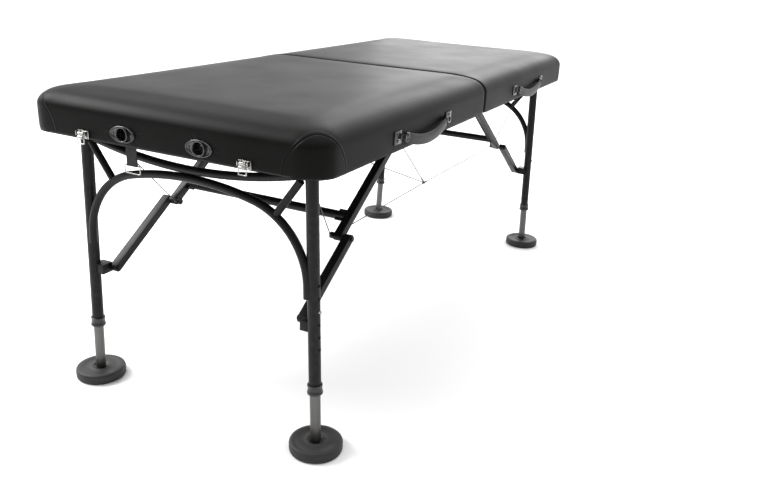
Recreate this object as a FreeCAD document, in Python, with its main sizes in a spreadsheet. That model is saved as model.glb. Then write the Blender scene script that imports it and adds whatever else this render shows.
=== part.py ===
import FreeCAD, Part
import math
import os
import re
import Sketcher

os.makedirs("parts", exist_ok=True)
doc = FreeCAD.newDocument("chiropractic_table")
Vector = FreeCAD.Vector
Rotation = FreeCAD.Rotation

# The table is modelled open. The floor is z = 0 and the length runs along x.
# Each half is drawn once in a half frame: u runs outward from the centre
# hinge, y is across and z is up. The far half keeps u as +x. The near half is
# the same drawing turned half a turn about z.

# Driving dimensions, in millimetres and degrees.
SIZES = {
    # deck
    "deck_length": 1800.0,
    "deck_width": 770.0,
    "deck_top": 758.0,
    "deck_depth": 100.0,
    "cavity_depth": 58.0,
    "board_thick": 5.0,
    "half_gap": 0.5,
    "parting_gap": 0.3,
    "fit_gap": 0.2,
    "skin_thick": 1.6,
    "rail_thick": 18.0,
    "hinge_rail_thick": 15.0,
    "corner_radius": 62.0,
    "hinge_corner_radius": 14.0,
    "side_inset": 1.0,
    "panel_thick": 1.0,
    "panel_reach": 84.0,
    # accessory sockets in the two ends
    "socket_spread": 100.0,
    "socket_rise": 26.0,
    "socket_flange_half": 33.5,
    "socket_flange_rise": 18.0,
    "socket_flange_thick": 3.5,
    "socket_ring_radius": 16.6,
    "socket_ring_thick": 5.5,
    "socket_screw_radius": 3.2,
    "socket_screw_reach": 25.5,
    "socket_screw_stand": 0.8,
    "socket_tube_radius": 15.5,
    "socket_bore_radius": 12.9,
    "socket_length": 46.0,
    # centre hinges
    "hinge_edge_gap": 135.0,
    "hinge_width": 66.0,
    "knuckle_radius": 4.5,
    "knuckle_width": 21.6,
    "knuckle_gap": 0.6,
    "leaf_thick": 2.0,
    "leaf_reach": 15.0,
    "hinge_pin_radius": 2.4,
    # leg pivots and tubes
    "pivot_end_gap": 95.0,
    "pivot_drop": 37.5,
    "pivot_pin_radius": 4.0,
    "leg_edge_gap": 81.0,
    "leg_flare": 22.7,
    "leg_radius": 14.0,
    "leg_wall": 1.5,
    "leg_over": 15.0,
    "leg_low_share": 0.221075903,
    "leg_hole_radius": 4.2,
    "leg_hole_over": 254.0,
    "leg_hole_pitch": 30.0,
    "bush_radius": 18.0,
    "bush_under": 6.0,
    "bush_over": 18.0,
    "post_radius": 12.2,
    "post_tip": 21.2,
    "post_over": 250.0,
    "post_dome": 2.5,
    "button_over": 194.0,
    "button_radius": 3.8,
    "button_stand": 3.0,
    "button_hole_depth": 5.0,
    # floor pads
    "pad_radius": 61.5,
    "pad_height": 26.0,
    "pad_edge": 3.0,
    "pad_dish_depth": 5.2,
    "pad_dish_floor": 12.6,
    "pad_dish_rim": 20.0,
    # arch and bow tubes of each leg set, set a little outside the leg plane
    "arch_radius": 9.5,
    "arch_offset": 8.0,
    "arch_drop": 92.0,
    "arch_shoulder": 138.0,
    "arch_flat_radius": 725.0,
    "arch_foot_inset": 1.0,
    "arch_tail": 26.0,
    "bow_inset": 16.0,
    "bow_rise": 36.0,
    "stub_radius": 8.5,
    "stub_top_inset": 20.0,
    "stub_top_drop": 50.0,
    "stub_foot_inset": 82.0,
    # folding braces
    "strut_depth": 12.0,
    "strut_size": 20.0,
    "brace_drop": 373.5,
    "upper_anchor": 173.0,
    "upper_lane_inset": 56.0,
    "lower_lane_inset": 31.0,
    "lug_low": 12.0,
    "lug_reach": 34.0,
    "lug_back": 6.0,
    "knee_radius": 8.0,
    "knee_stand": 12.0,
    "crossbar_radius": 11.0,
    "crossbar_run": 62.0,
    "gusset_reach": 34.0,
    "gusset_thick": 4.0,
    # deck brackets
    "leg_plate": 3.0,
    "strut_plate": 1.5,
    "bracket_length": 46.0,
    "bracket_under": 11.0,
    "bracket_ear": 3.0,
    "bracket_side_gap": 0.5,
    "pin_head_radius": 6.5,
    "pin_head_thick": 3.0,
    # carry handles on the right long side
    "handle_corner_gap": 470.0,
    "handle_span": 250.0,
    "handle_rise": 32.0,
    "handle_width": 26.0,
    "handle_thick": 9.0,
    "handle_bow": 7.0,
    "handle_droop": 22.0,
    "handle_pin_radius": 2.5,
    "handle_end_gap": 5.0,
    "fitting_length": 36.0,
    "fitting_height": 30.0,
    "fitting_plate": 2.0,
    "fitting_stand": 11.0,
    "fitting_ear": 3.0,
    # draw latches on the near end and keepers on the far end
    "latch_edge_gap": 174.0,
    "latch_width": 30.0,
    "latch_low": 2.0,
    "latch_high": 20.0,
    "latch_plate": 1.5,
    "latch_pin_rise": 14.0,
    "latch_pin_stand": 6.0,
    "latch_pin_radius": 1.5,
    "lever_half": 7.0,
    "lever_thick": 2.0,
    "lever_low": 3.0,
    "lever_lip": 5.0,
    "loop_radius": 1.2,
    "loop_half": 9.2,
    "loop_rise": 7.0,
    "loop_under": 8.0,
    "ear_inner": 11.5,
    "ear_thick": 1.5,
    "keeper_half": 6.0,
    "keeper_low": 3.0,
    "keeper_high": 20.0,
    "keeper_arm": 2.5,
    "keeper_reach": 10.0,
    "keeper_lip": 9.5,
    # hanging strap and wire ring
    "strap_end_gap": 22.8,
    "strap_across": 100.0,
    "strap_width": 30.0,
    "strap_thick": 2.4,
    "strap_rise": 9.0,
    "strap_hang": 54.0,
    "strap_eye_radius": 3.4,
    "strap_bore_radius": 1.7,
    "ring_radius": 1.25,
    "ring_width": 42.0,
    "ring_hang": 18.0,
    # steel stays
    "stay_radius": 1.5,
    "stay_board_back": 15.0,
    "stay_board_inset": 50.0,
    "hub_edge_gap": 170.0,
    "hub_drop": 8.5,
    "hub_radius": 4.0,
}

# Values worked out from the driving dimensions, as spreadsheet formulas.
DERIVED = [
    ("half_length", "deck_length / 2"),
    ("half_width", "deck_width / 2"),
    ("lower_edge", "deck_top - deck_depth"),
    ("board_under", "lower_edge + cavity_depth"),
    ("board_top", "board_under + board_thick"),
    ("hinge_spread", "half_width - hinge_edge_gap"),
    ("latch_spread", "half_width - latch_edge_gap"),
    ("pivot_run", "half_length - pivot_end_gap"),
    ("pivot_height", "board_under - pivot_drop"),
    ("leg_spread_top", "half_width - leg_edge_gap"),
    ("leg_spread_floor", "leg_spread_top + leg_flare"),
    ("splay", "atan(leg_flare / pivot_height)"),
    ("arch_flat_reach", "leg_spread_top - arch_shoulder"),
    ("arch_foot_reach", "leg_spread_top - arch_foot_inset"),
    ("bow_reach", "leg_spread_top - bow_inset"),
    ("stub_top_reach", "leg_spread_top - stub_top_inset"),
    ("stub_foot_reach", "leg_spread_top - stub_foot_inset"),
    ("upper_lane", "leg_spread_top - upper_lane_inset"),
    ("lower_lane", "leg_spread_top - lower_lane_inset"),
    ("leg_low", "pivot_height * leg_low_share"),
    ("leg_hole_high", "leg_low + leg_hole_over"),
    ("post_high", "leg_low + post_over"),
    ("button_height", "leg_low + button_over"),
    ("leg_inner_radius", "leg_radius - leg_wall"),
    ("brace_run", "pivot_run - upper_anchor"),
    ("upper_anchor_height", "board_under - strut_depth"),
    ("lug_offset", "pivot_drop - strut_depth"),
    ("brace_fall", "brace_drop + pivot_drop - strut_depth"),
    ("brace_reach", "brace_run - lug_offset"),
    ("brace_length", "sqrt(brace_fall * brace_fall + brace_reach * brace_reach)"),
    ("upper_length", "(brace_length + brace_run - brace_drop) / 2"),
    ("lower_length", "(brace_length - brace_run + brace_drop) / 2"),
    ("brace_angle", "atan(brace_fall / brace_reach)"),
    ("knee_run", "upper_anchor + upper_length * cos(brace_angle)"),
    ("knee_height", "upper_anchor_height - upper_length * sin(brace_angle)"),
    ("strut_half", "strut_size / 2"),
    ("handle_run", "half_length - handle_corner_gap"),
    ("handle_height", "lower_edge + handle_rise"),
    ("strap_run", "half_length - strap_end_gap"),
    ("face_run", "half_length - side_inset + fit_gap"),
    ("face_side", "half_width - side_inset + fit_gap"),
    ("plate_run", "face_run + fit_gap / 2"),
    ("latch_pin_run", "face_run + latch_plate + latch_pin_stand"),
    ("latch_pin_height", "lower_edge + latch_pin_rise"),
    ("loop_height", "lower_edge + loop_rise"),
    ("socket_height", "lower_edge + socket_rise"),
    ("strap_height", "lower_edge + strap_rise"),
    ("stay_top_across", "leg_spread_top - leg_radius - bracket_side_gap - bracket_ear"
     " - pin_head_thick - stay_radius - fit_gap"),
    ("stay_board_run", "pivot_run - stay_board_back"),
    ("stay_board_across", "leg_spread_top - stay_board_inset"),
    ("stay_board_height", "board_under - stay_radius - fit_gap"),
    ("hub_across", "half_width - hub_edge_gap"),
    ("hub_height", "knee_height - hub_drop"),
    ("stay_knee_across", "upper_lane - strut_half - knee_stand / 2"),
    ("stay_knee_reach", "knee_radius + stay_radius + fit_gap"),
]

sheet = doc.addObject("Spreadsheet::Sheet", "Sizes")
for row, (alias, size) in enumerate(SIZES.items(), start=1):
    sheet.set("A%d" % row, alias)
    sheet.set("B%d" % row, str(size))
    sheet.setAlias("B%d" % row, alias)
for row, (alias, formula) in enumerate(DERIVED, start=len(SIZES) + 1):
    sheet.set("A%d" % row, alias)
    sheet.setAlias("B%d" % row, alias)
    sheet.set("B%d" % row, "=" + formula)
doc.recompute()

ALIASES = set(SIZES) | {alias for alias, formula in DERIVED}
WORD = re.compile(r"[a-z_]+")


def size(alias):
    """Return the number that a spreadsheet alias holds."""
    held = sheet.get(alias)
    return float(getattr(held, "Value", held))


def tied(formula):
    """Return a formula with each alias pointing at the spreadsheet."""
    return WORD.sub(lambda m: "Sizes." + m.group() if m.group() in ALIASES else m.group(), formula)


def bind(item, **formulas):
    """Drive properties of an object, given by name, with formulas."""
    for name, formula in formulas.items():
        item.setExpression(name, tied(formula))
    return item


def seat(item, corner, turn=None):
    """Place an object with a turn and three formulas for its base."""
    if turn is not None:
        item.Placement = FreeCAD.Placement(Vector(), turn)
    for axis, formula in zip("xyz", corner):
        item.setExpression("Placement.Base." + axis, tied(formula))
    return item


ALONG_X = Rotation(Vector(0, 1, 0), 90)
ALONG_Y = Rotation(Vector(1, 0, 0), -90)
ALONG_Z = Rotation()
UPRIGHT_OVAL = Rotation(Vector(0, 1, 0), Vector(0, 0, 1), Vector(1, 0, 0), "ZXY")


def box(name, lengths, corner):
    """Make a box from its three lengths and its lowest corner."""
    item = doc.addObject("Part::Box", name)
    bind(item, Length=lengths[0], Width=lengths[1], Height=lengths[2])
    return seat(item, corner)


def rod(name, radius, length, start, turn=ALONG_Z):
    """Make a cylinder from its start point along a turned z axis."""
    item = doc.addObject("Part::Cylinder", name)
    bind(item, Radius=radius, Height=length)
    return seat(item, start, turn)


def cone(name, low_radius, high_radius, length, start, turn=ALONG_Z):
    """Make a cone from its start point along a turned z axis."""
    item = doc.addObject("Part::Cone", name)
    bind(item, Radius1=low_radius, Radius2=high_radius, Height=length)
    return seat(item, start, turn)


def fuse(name, items):
    """Join overlapping shapes into one solid."""
    item = doc.addObject("Part::MultiFuse", name)
    item.Shapes = items
    item.Refine = True
    return item


def cut(name, base, tools):
    """Cut one or more shapes out of a base."""
    item = doc.addObject("Part::Cut", name)
    item.Base = base
    item.Tool = tools[0] if len(tools) == 1 else fuse(name + "_tools", tools)
    item.Refine = True
    return item


def common(name, first, second):
    """Keep what two shapes share."""
    item = doc.addObject("Part::MultiCommon", name)
    item.Shapes = [first, second]
    return item


def group(name, items):
    """Hold separate solids in one compound."""
    item = doc.addObject("Part::Compound", name)
    item.Links = items
    return item


HALVES = {"near": Rotation(Vector(0, 0, 1), 180), "far": Rotation()}
SIDES = {"left": 1, "right": -1}
nodes = []


def node(item, name, half):
    """Finish a sub-part: its Label is the node name, its Placement its half."""
    if item.ExpressionEngine:
        item = group(name + "_held", [item])
    item.Label = name
    item.Placement = FreeCAD.Placement(Vector(), HALVES[half])
    nodes.append(item)
    return item


def across(side, formula):
    """Return a y formula for one side of a half frame."""
    return "(%d) * (%s)" % (SIDES[side], formula)


def world_side(half, side):
    """Name the side of the open table that one side of a half frame is on."""
    facing = SIDES[side] if half == "far" else -SIDES[side]
    return "left" if facing > 0 else "right"


def y_span(side, low, high):
    """Return the lower y of a span that lies on one side."""
    return across(side, low) if SIDES[side] > 0 else across(side, high)


# Rounded plan outlines, the sections of the deck pieces.

def plan_sketch(body, name, inner, outer, wide, inner_radius, outer_radius, height):
    """Draw a rounded rectangle from u = inner to outer at one height."""
    sketch = body.newObject("Sketcher::SketchObject", name)
    sketch.AttachmentSupport = [(body.Origin.OriginFeatures[3], "")]
    sketch.MapMode = "FlatFace"
    sketch.setExpression("AttachmentOffset.Base.z", tied(height))
    radii = [size("corner_radius"), size("corner_radius")]
    radii += [size("hinge_corner_radius"), size("hinge_corner_radius")]
    u_low, u_high, w = 0.0, size("half_length"), size("half_width")
    corners = [(u_high, -w), (u_high, w), (u_low, w), (u_low, -w)]
    starts = [(0, -1), (1, 0), (0, 1), (-1, 0)]
    lines, arcs = [], []
    for i, (u, y) in enumerate(corners):
        r = radii[i]
        centre = Vector(u - math.copysign(r, u - r), y - math.copysign(r, y), 0)
        circle = Part.Circle(centre, Vector(0, 0, 1), r)
        first = math.atan2(starts[i][1], starts[i][0])
        arcs.append(sketch.addGeometry(Part.ArcOfCircle(circle, first, first + math.pi / 2)))
    for i in range(len(corners)):
        begin = sketch.Geometry[arcs[i - 1]].EndPoint
        end = sketch.Geometry[arcs[i]].StartPoint
        lines.append(sketch.addGeometry(Part.LineSegment(begin, end)))
    for i in range(len(corners)):
        sketch.addConstraint(Sketcher.Constraint("Tangent", lines[i], 2, arcs[i], 1))
        sketch.addConstraint(Sketcher.Constraint("Tangent", arcs[i - 1], 2, lines[i], 1))
        kind = "Vertical" if i % 2 else "Horizontal"
        sketch.addConstraint(Sketcher.Constraint(kind, lines[i]))
    named = [("Radius", arcs[0], outer_radius), ("Radius", arcs[1], outer_radius)]
    named += [("Radius", arcs[2], inner_radius), ("Radius", arcs[3], inner_radius)]
    for i, (kind, arc, formula) in enumerate(named):
        index = sketch.addConstraint(Sketcher.Constraint(kind, arc, radii[i]))
        sketch.setExpression("Constraints[%d]" % index, tied(formula))
    places = [("DistanceY", lines[0], "-(%s)" % wide, -w), ("DistanceX", lines[1], outer, u_high)]
    places += [("DistanceY", lines[2], wide, w), ("DistanceX", lines[3], inner, u_low)]
    for kind, line, formula, value in places:
        index = sketch.addConstraint(Sketcher.Constraint(kind, -1, 1, line, 1, value))
        sketch.setExpression("Constraints[%d]" % index, tied(formula))
    return sketch


def plate(name, inset, hinge_inset, low, high):
    """Pad a rounded plan between two heights."""
    body = doc.addObject("PartDesign::Body", name)
    sketch = plan_sketch(body, name + "_plan", "half_gap + " + hinge_inset,
                         "half_length - (%s)" % inset, "half_width - (%s)" % inset,
                         "hinge_corner_radius - skin_thick", "corner_radius - (%s)" % inset, low)
    pad = body.newObject("PartDesign::Pad", name + "_pad")
    pad.Profile = sketch
    bind(pad, Length="(%s) - (%s)" % (high, low))
    return body


# The upholstered outside: heights over the lower edge, as shares of the deck
# depth, with the inset of the skin at each. The sides are drawn in at the
# board, swell round the foam and roll over into a slightly crowned top.
HEIGHT_SHARES = [0.0, 0.08, 0.30, 0.48, 0.62, 0.74, 0.85, 0.93, 0.97]
INSET_SHARES = [0.02, 0.01, 0.01, 0.01, 0.0035, 0.0, 0.032, 0.1, 0.19]
CROWN_SHARE = 1.0
CROWN_INSET_SHARE = 0.8
HINGE_INSET_SHARE = 0.35
OUTER_TURN_SHARE = 0.5
INNER_TURN_SHARE = 0.1


def cushion_form(name, shrink, low_extra):
    """Loft the outside of the upholstery, moved inward by shrink."""
    body = doc.addObject("PartDesign::Body", name)

    def section(tag, share, inset, height):
        return plan_sketch(
            body, "%s_section_%s" % (name, tag),
            "half_gap + deck_depth * %g + (%s)" % (inset * HINGE_INSET_SHARE, shrink),
            "half_length - deck_depth * %g - (%s)" % (inset, shrink),
            "half_width - deck_depth * %g - (%s)" % (inset, shrink),
            "hinge_corner_radius - deck_depth * %g - (%s)" % (inset * INNER_TURN_SHARE, shrink),
            "corner_radius - deck_depth * %g - (%s)" % (inset * OUTER_TURN_SHARE, shrink), height)

    sides = []
    for i, (share, inset) in enumerate(zip(HEIGHT_SHARES, INSET_SHARES)):
        height = "lower_edge + deck_depth * %g - (%s) * %g" % (share, shrink, share)
        if i == 0:
            height = "lower_edge + parting_gap - (%s)" % low_extra
        sides.append(section("side%d" % i, share, inset, height))
    loft = body.newObject("PartDesign::AdditiveLoft", name + "_sides")
    loft.Profile = sides[0]
    loft.Sections = sides[1:]
    rim = section("rim", HEIGHT_SHARES[-1], INSET_SHARES[-1], height)
    top = section("top", CROWN_SHARE, CROWN_INSET_SHARE, "deck_top - (%s)" % shrink)
    crown = body.newObject("PartDesign::AdditiveLoft", name + "_crown")
    crown.Profile = rim
    crown.Sections = [top]
    crown.Ruled = True
    return body


def socket_drills(name, radius, low, high):
    """Return the two socket bores of a half, from u = low to high."""
    return [rod("%s_%s" % (name, side), radius, "(%s) - (%s)" % (high, low),
                (low, across(side, "socket_spread"), "socket_height"), ALONG_X)
            for side in SIDES]


def knuckle_drills(name):
    """Return the round notches that clear the two hinge barrels of a half."""
    return [rod("%s_%s" % (name, side), "knuckle_radius + knuckle_gap",
                "hinge_width + 2 * knuckle_gap",
                ("0", across(side, "hinge_spread") + " - hinge_width / 2 - knuckle_gap",
                 "lower_edge"), ALONG_Y)
            for side in SIDES]


def leaf_drills(name):
    """Return the recesses for the two hinge leaves of a half."""
    return [box("%s_%s" % (name, side),
                ("leaf_reach + half_gap + 2 * fit_gap", "hinge_width + 2 * fit_gap", "leaf_thick + fit_gap"),
                ("0", across(side, "hinge_spread") + " - hinge_width / 2 - fit_gap", "lower_edge"))
            for side in SIDES]


def make_deck(half):
    """Make the cushion, board, rim and corner panels of one half."""
    tag = half + "_"
    outer = cushion_form(tag + "cushion_form", "0", "0")
    below = box(tag + "below_board", ("deck_length", "2 * deck_width", "deck_top"),
                ("-half_length", "-deck_width", "board_top + fit_gap - deck_top"))
    node(cut(tag + "cushion_body", outer, [below]), "cushion_" + half, half)

    lower = cushion_form(tag + "wrap_form", "0", "0")
    hollow = plate(tag + "wrap_hollow", "side_inset + skin_thick", "skin_thick",
                   "lower_edge - skin_thick", "deck_top + skin_thick")
    under_top = box(tag + "under_top", ("2 * deck_length", "2 * deck_width", "deck_top"),
                    ("-deck_length", "-deck_width", "board_top - deck_top"))
    drills = socket_drills(tag + "wrap_drill", "socket_tube_radius + fit_gap",
                           "half_length - rail_thick", "half_length + rail_thick")
    notches = knuckle_drills(tag + "wrap_notch") + leaf_drills(tag + "wrap_leaf")
    skirt = common(tag + "wrap_skirt", lower, under_top)
    wrap = cut(tag + "wrap_body", skirt, [hollow] + drills + notches)
    node(wrap, "side_wrap_" + half, half)

    inset = "side_inset + skin_thick + fit_gap"
    board = plate(tag + "board_body", inset, "skin_thick + fit_gap", "board_under", "board_top")
    node(board, "deck_board_" + half, half)

    rim = plate(tag + "rim_block", inset, "skin_thick + fit_gap",
                "lower_edge + parting_gap", "board_under")
    inside = plate(tag + "rim_inside", inset + " + rail_thick", "hinge_rail_thick",
                   "lower_edge - rail_thick", "board_under + rail_thick")
    bores = socket_drills(tag + "rim_drill", "socket_tube_radius + fit_gap",
                          "half_length - 2 * rail_thick", "half_length + rail_thick")
    notches = knuckle_drills(tag + "rim_notch") + leaf_drills(tag + "rim_leaf")
    rails = cut(tag + "rim_body", rim, [inside] + bores + notches)
    node(rails, "rim_rails_" + half, half)

    over = cushion_form(tag + "panel_form", "-panel_thick", "0")
    under = cushion_form(tag + "panel_under", "-fit_gap / 2", "panel_thick")
    skin = cut(tag + "panel_skin", over, [under])
    lenses = []
    for side, sign in SIDES.items():
        turn = Rotation(Vector(0, 0, 1), sign * 45).multiply(ALONG_X)
        lenses.append(rod(tag + "panel_lens_" + side, "panel_reach", "2 * panel_reach",
                          ("half_length - panel_reach", across(side, "half_width - panel_reach"),
                           "lower_edge"), turn))
    patches = common(tag + "panel_body", skin, fuse(tag + "panel_lenses", lenses))
    node(patches, "corner_panels_" + half, half)


def make_sockets(half):
    """Make the two accessory sockets in the end rail of one half."""
    sockets = []
    for side in SIDES:
        tag = "%s_socket_%s_" % (half, side)
        place = ("face_run", across(side, "socket_spread"), "socket_height")
        oval = doc.addObject("Part::Ellipse", tag + "oval")
        bind(oval, MajorRadius="socket_flange_half", MinorRadius="socket_flange_rise")
        seat(oval, place, UPRIGHT_OVAL)
        flange = doc.addObject("Part::Extrusion", tag + "flange")
        flange.Base = oval
        flange.DirMode = "Normal"
        flange.Solid = True
        bind(flange, LengthFwd="socket_flange_thick")
        heads = [rod("%shead%d" % (tag, k), "socket_screw_radius",
                     "socket_flange_thick + socket_screw_stand",
                     (place[0], place[1] + " + (%d) * socket_screw_reach" % k, place[2]), ALONG_X)
                 for k in (-1, 1)]
        ring = rod(tag + "ring", "socket_ring_radius", "socket_ring_thick", place, ALONG_X)
        inner = ("face_run - socket_length",) + place[1:]
        tube = rod(tag + "tube", "socket_tube_radius", "socket_length + socket_flange_thick",
                   inner, ALONG_X)
        bore = rod(tag + "bore", "socket_bore_radius", "socket_length + 2 * socket_ring_thick",
                   ("face_run - socket_length - fit_gap",) + place[1:], ALONG_X)
        solid = fuse(tag + "solid", [flange, ring, tube] + heads)
        sockets.append(cut(tag + "body", solid, [bore]))
    node(group(half + "_sockets", sockets), "sockets_" + half, half)


# Centre hinges: the near leaves carry the outer knuckles, the far leaves the
# middle one, and one pin runs through all three.

def make_hinge_leaves(half):
    """Make the two leaves of one half, sunk into its hinge rail."""
    leaves = []
    pitch = "(knuckle_width + knuckle_gap)"
    steps = [0] if half == "far" else [-1, 1]
    for side in SIDES:
        tag = "%s_leaf_%s_" % (half, side)
        middle = across(side, "hinge_spread")
        parts = [box(tag + "plate",
                     ("leaf_reach - knuckle_radius - knuckle_gap", "hinge_width", "leaf_thick"),
                     ("knuckle_radius + knuckle_gap + fit_gap", middle + " - hinge_width / 2",
                      "lower_edge"))]
        for step in steps:
            low = "%s + (%d) * %s - knuckle_width / 2" % (middle, step, pitch)
            parts.append(box(tag + "web%d" % (step + 1),
                             ("knuckle_radius + 2 * knuckle_gap", "knuckle_width", "leaf_thick"),
                             ("0", low, "lower_edge")))
            parts.append(rod(tag + "knuckle%d" % (step + 1), "knuckle_radius", "knuckle_width",
                             ("0", low, "lower_edge"), ALONG_Y))
        bore = rod(tag + "bore", "hinge_pin_radius + fit_gap", "hinge_width + 2 * knuckle_width",
                   ("0", middle + " - hinge_width / 2 - knuckle_width", "lower_edge"), ALONG_Y)
        leaves.append(cut(tag + "body", fuse(tag + "solid", parts), [bore]))
    node(group(half + "_leaves", leaves), "hinge_leaves_" + half, half)


def make_hinge_pins():
    """Make the two hinge pins."""
    pins = [rod("hinge_pin_" + side, "hinge_pin_radius", "hinge_width",
                ("0", across(side, "hinge_spread") + " - hinge_width / 2", "lower_edge"), ALONG_Y)
            for side in SIDES]
    node(group("hinge_pins_body", pins), "hinge_pins", "far")


# Deck brackets: a plate under the board with two ears, for a tube or strut.

def clevis(tag, side, run, lane, half_gap_width, pin_drop, thick):
    """Make one bracket whose pin lies pin_drop below the board."""
    wide = "2 * (%s) + 2 * bracket_ear" % half_gap_width
    low_y = "%s - (%s) - bracket_ear" % (across(side, lane), half_gap_width)
    parts = [box(tag + "plate", ("bracket_length", wide, thick),
                 ("(%s) - bracket_length / 2" % run, low_y, "board_under - " + thick))]
    for i, offset in enumerate(["0", "2 * (%s) + bracket_ear" % half_gap_width]):
        parts.append(box(tag + "ear%d" % i,
                         ("2 * bracket_under", "bracket_ear", "(%s)" % pin_drop),
                         ("(%s) - bracket_under" % run, "%s + %s" % (low_y, offset),
                          "board_under - (%s)" % pin_drop)))
        parts.append(rod(tag + "round%d" % i, "bracket_under", "bracket_ear",
                         (run, "%s + %s" % (low_y, offset), "board_under - (%s)" % pin_drop),
                         ALONG_Y))
    bore = rod(tag + "bore", "pivot_pin_radius", wide,
               (run, low_y, "board_under - (%s)" % pin_drop), ALONG_Y)
    return cut(tag + "body", fuse(tag + "solid", parts), [bore])


def headed_pin(tag, side, run, lane, half_width_formula, pin_drop):
    """Make the headed pin of one bracket."""
    reach = "(%s) + bracket_ear" % half_width_formula
    height = "board_under - (%s)" % pin_drop
    low_y = "%s - (%s)" % (across(side, lane), reach)
    shank = rod(tag + "shank", "pivot_pin_radius", "2 * (%s)" % reach, (run, low_y, height), ALONG_Y)
    heads = []
    for i, offset in enumerate(["-pin_head_thick", "2 * (%s)" % reach]):
        heads.append(rod(tag + "head%d" % i, "pin_head_radius", "pin_head_thick",
                         (run, "%s + %s" % (low_y, offset), height), ALONG_Y))
    return fuse(tag + "body", [shank] + heads)


LEG_GAP = "leg_radius + bracket_side_gap"
STRUT_GAP = "strut_half + bracket_side_gap"


def make_brackets(half):
    """Make the leg and strut brackets under one board, and their pins."""
    leg, strut, pins = [], [], []
    for side in SIDES:
        tag = "%s_%s_" % (half, side)
        leg.append(clevis(tag + "leg_clevis_", side, "pivot_run", "leg_spread_top", LEG_GAP,
                          "pivot_drop", "leg_plate"))
        strut.append(clevis(tag + "strut_clevis_", side, "upper_anchor", "upper_lane", STRUT_GAP,
                            "strut_depth", "strut_plate"))
        pins.append(headed_pin(tag + "leg_pin_", side, "pivot_run", "leg_spread_top", LEG_GAP,
                               "pivot_drop"))
        pins.append(headed_pin(tag + "strut_pin_", side, "upper_anchor", "upper_lane", STRUT_GAP,
                               "strut_depth"))
    node(group(half + "_leg_brackets", leg), "leg_brackets_" + half, half)
    node(group(half + "_strut_brackets", strut), "strut_brackets_" + half, half)
    node(group(half + "_pivot_pins", pins), "pivot_pins_" + half, half)


# Leg pieces are drawn straight down from the pivot, then splayed outward.

def splayed(item, side):
    """Seat a leg piece at its pivot and lean it outward."""
    item.Placement = FreeCAD.Placement(Vector(), Rotation(Vector(1, 0, 0), 1))
    seat(item, ("pivot_run", across(side, "leg_spread_top"), "pivot_height"))
    item.setExpression("Placement.Rotation.Angle", tied(across(side, "splay")))
    return item


def outward(side):
    """Return the turn that points a cylinder away from the table's middle."""
    return Rotation(Vector(1, 0, 0), -90 * SIDES[side])


def leg_core(name, side, radius):
    """Return a solid leg cylinder, to cut the pieces welded to it."""
    core = rod(name, radius, "pivot_height - leg_low + leg_over",
               ("0", "0", "leg_low - pivot_height"))
    return splayed(group(name + "_held", [core]), side)


HOLE_COUNT = 6
POST_HOLES = (-1, 0, 1, 2, 3)


def make_leg_tubes(half):
    """Make the two outer leg tubes with their adjustment holes."""
    tubes = []
    for side in SIDES:
        tag = "%s_leg_%s_" % (half, side)
        wall = rod(tag + "outside", "leg_radius", "pivot_height - leg_low + leg_over",
                   ("0", "0", "leg_low - pivot_height"))
        bore = rod(tag + "inside", "leg_inner_radius",
                   "pivot_height - leg_low + 2 * leg_over",
                   ("0", "0", "leg_low - pivot_height - leg_over / 2"))
        pin = rod(tag + "pin_hole", "pivot_pin_radius + 4 * fit_gap", "4 * leg_radius",
                  ("0", "-2 * leg_radius", "0"), ALONG_Y)
        drills = [bore, pin]
        for i in range(HOLE_COUNT):
            drop = "leg_hole_high - %d * leg_hole_pitch - pivot_height" % i
            drills.append(rod(tag + "hole%d" % i, "leg_hole_radius", "2 * leg_radius",
                              ("0", "0", drop), outward(side)))
        tubes.append(splayed(cut(tag + "body", wall, drills), side))
    node(group(half + "_leg_tubes", tubes), "leg_tubes_" + half, half)


def make_bushes(half):
    """Make the plastic bushes round the lower ends of the tubes."""
    bushes = []
    for side in SIDES:
        tag = "%s_bush_%s_" % (half, side)
        foot = "leg_low - pivot_height - bush_under"
        outside = rod(tag + "outside", "bush_radius", "bush_under + bush_over", ("0", "0", foot))
        seat_bore = rod(tag + "seat", "leg_radius + fit_gap / 2", "2 * bush_over",
                        ("0", "0", "leg_low - pivot_height"))
        bore = rod(tag + "bore", "leg_inner_radius", "4 * bush_under",
                   ("0", "0", foot + " - bush_under"))
        bushes.append(splayed(cut(tag + "body", outside, [seat_bore, bore]), side))
    node(group(half + "_bushes", bushes), "leg_bushes_" + half, half)


def make_post(half, side):
    """Make one sliding inner post with its row of button holes."""
    tag = "%s_post_%s_" % (half, side)
    tip = "post_tip - pivot_height"
    shank = rod(tag + "shank", "post_radius", "post_high - post_tip - post_dome",
                ("0", "0", tip + " + post_dome"))
    dome = cone(tag + "dome", "post_radius - post_dome", "post_radius", "post_dome",
                ("0", "0", tip))
    drills = []
    for i in POST_HOLES:
        reach = "post_radius - button_hole_depth"
        drills.append(rod("%shole%d" % (tag, i + 1), "leg_hole_radius", "leg_radius",
                          ("0", across(side, reach),
                           "button_height - (%d) * leg_hole_pitch - pivot_height" % i),
                          outward(side)))
    post = splayed(cut(tag + "body", fuse(tag + "solid", [shank, dome]), drills), side)
    node(post, "post_%s_%s" % (half, world_side(half, side)), half)


def make_button(half, side):
    """Make one snap button, which sits in a hole of its tube."""
    tag = "%s_button_%s_" % (half, side)
    high = "button_height - pivot_height"
    shank = rod(tag + "shank", "button_radius", "leg_radius + button_stand - post_radius - fit_gap",
                ("0", across(side, "post_radius + fit_gap"), high), outward(side))
    dome = cone(tag + "dome", "button_radius", "button_radius / 2", "button_stand / 3",
                ("0", across(side, "leg_radius + button_stand"), high), outward(side))
    button = splayed(fuse(tag + "body", [shank, dome]), side)
    node(button, "button_%s_%s" % (half, world_side(half, side)), half)


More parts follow.
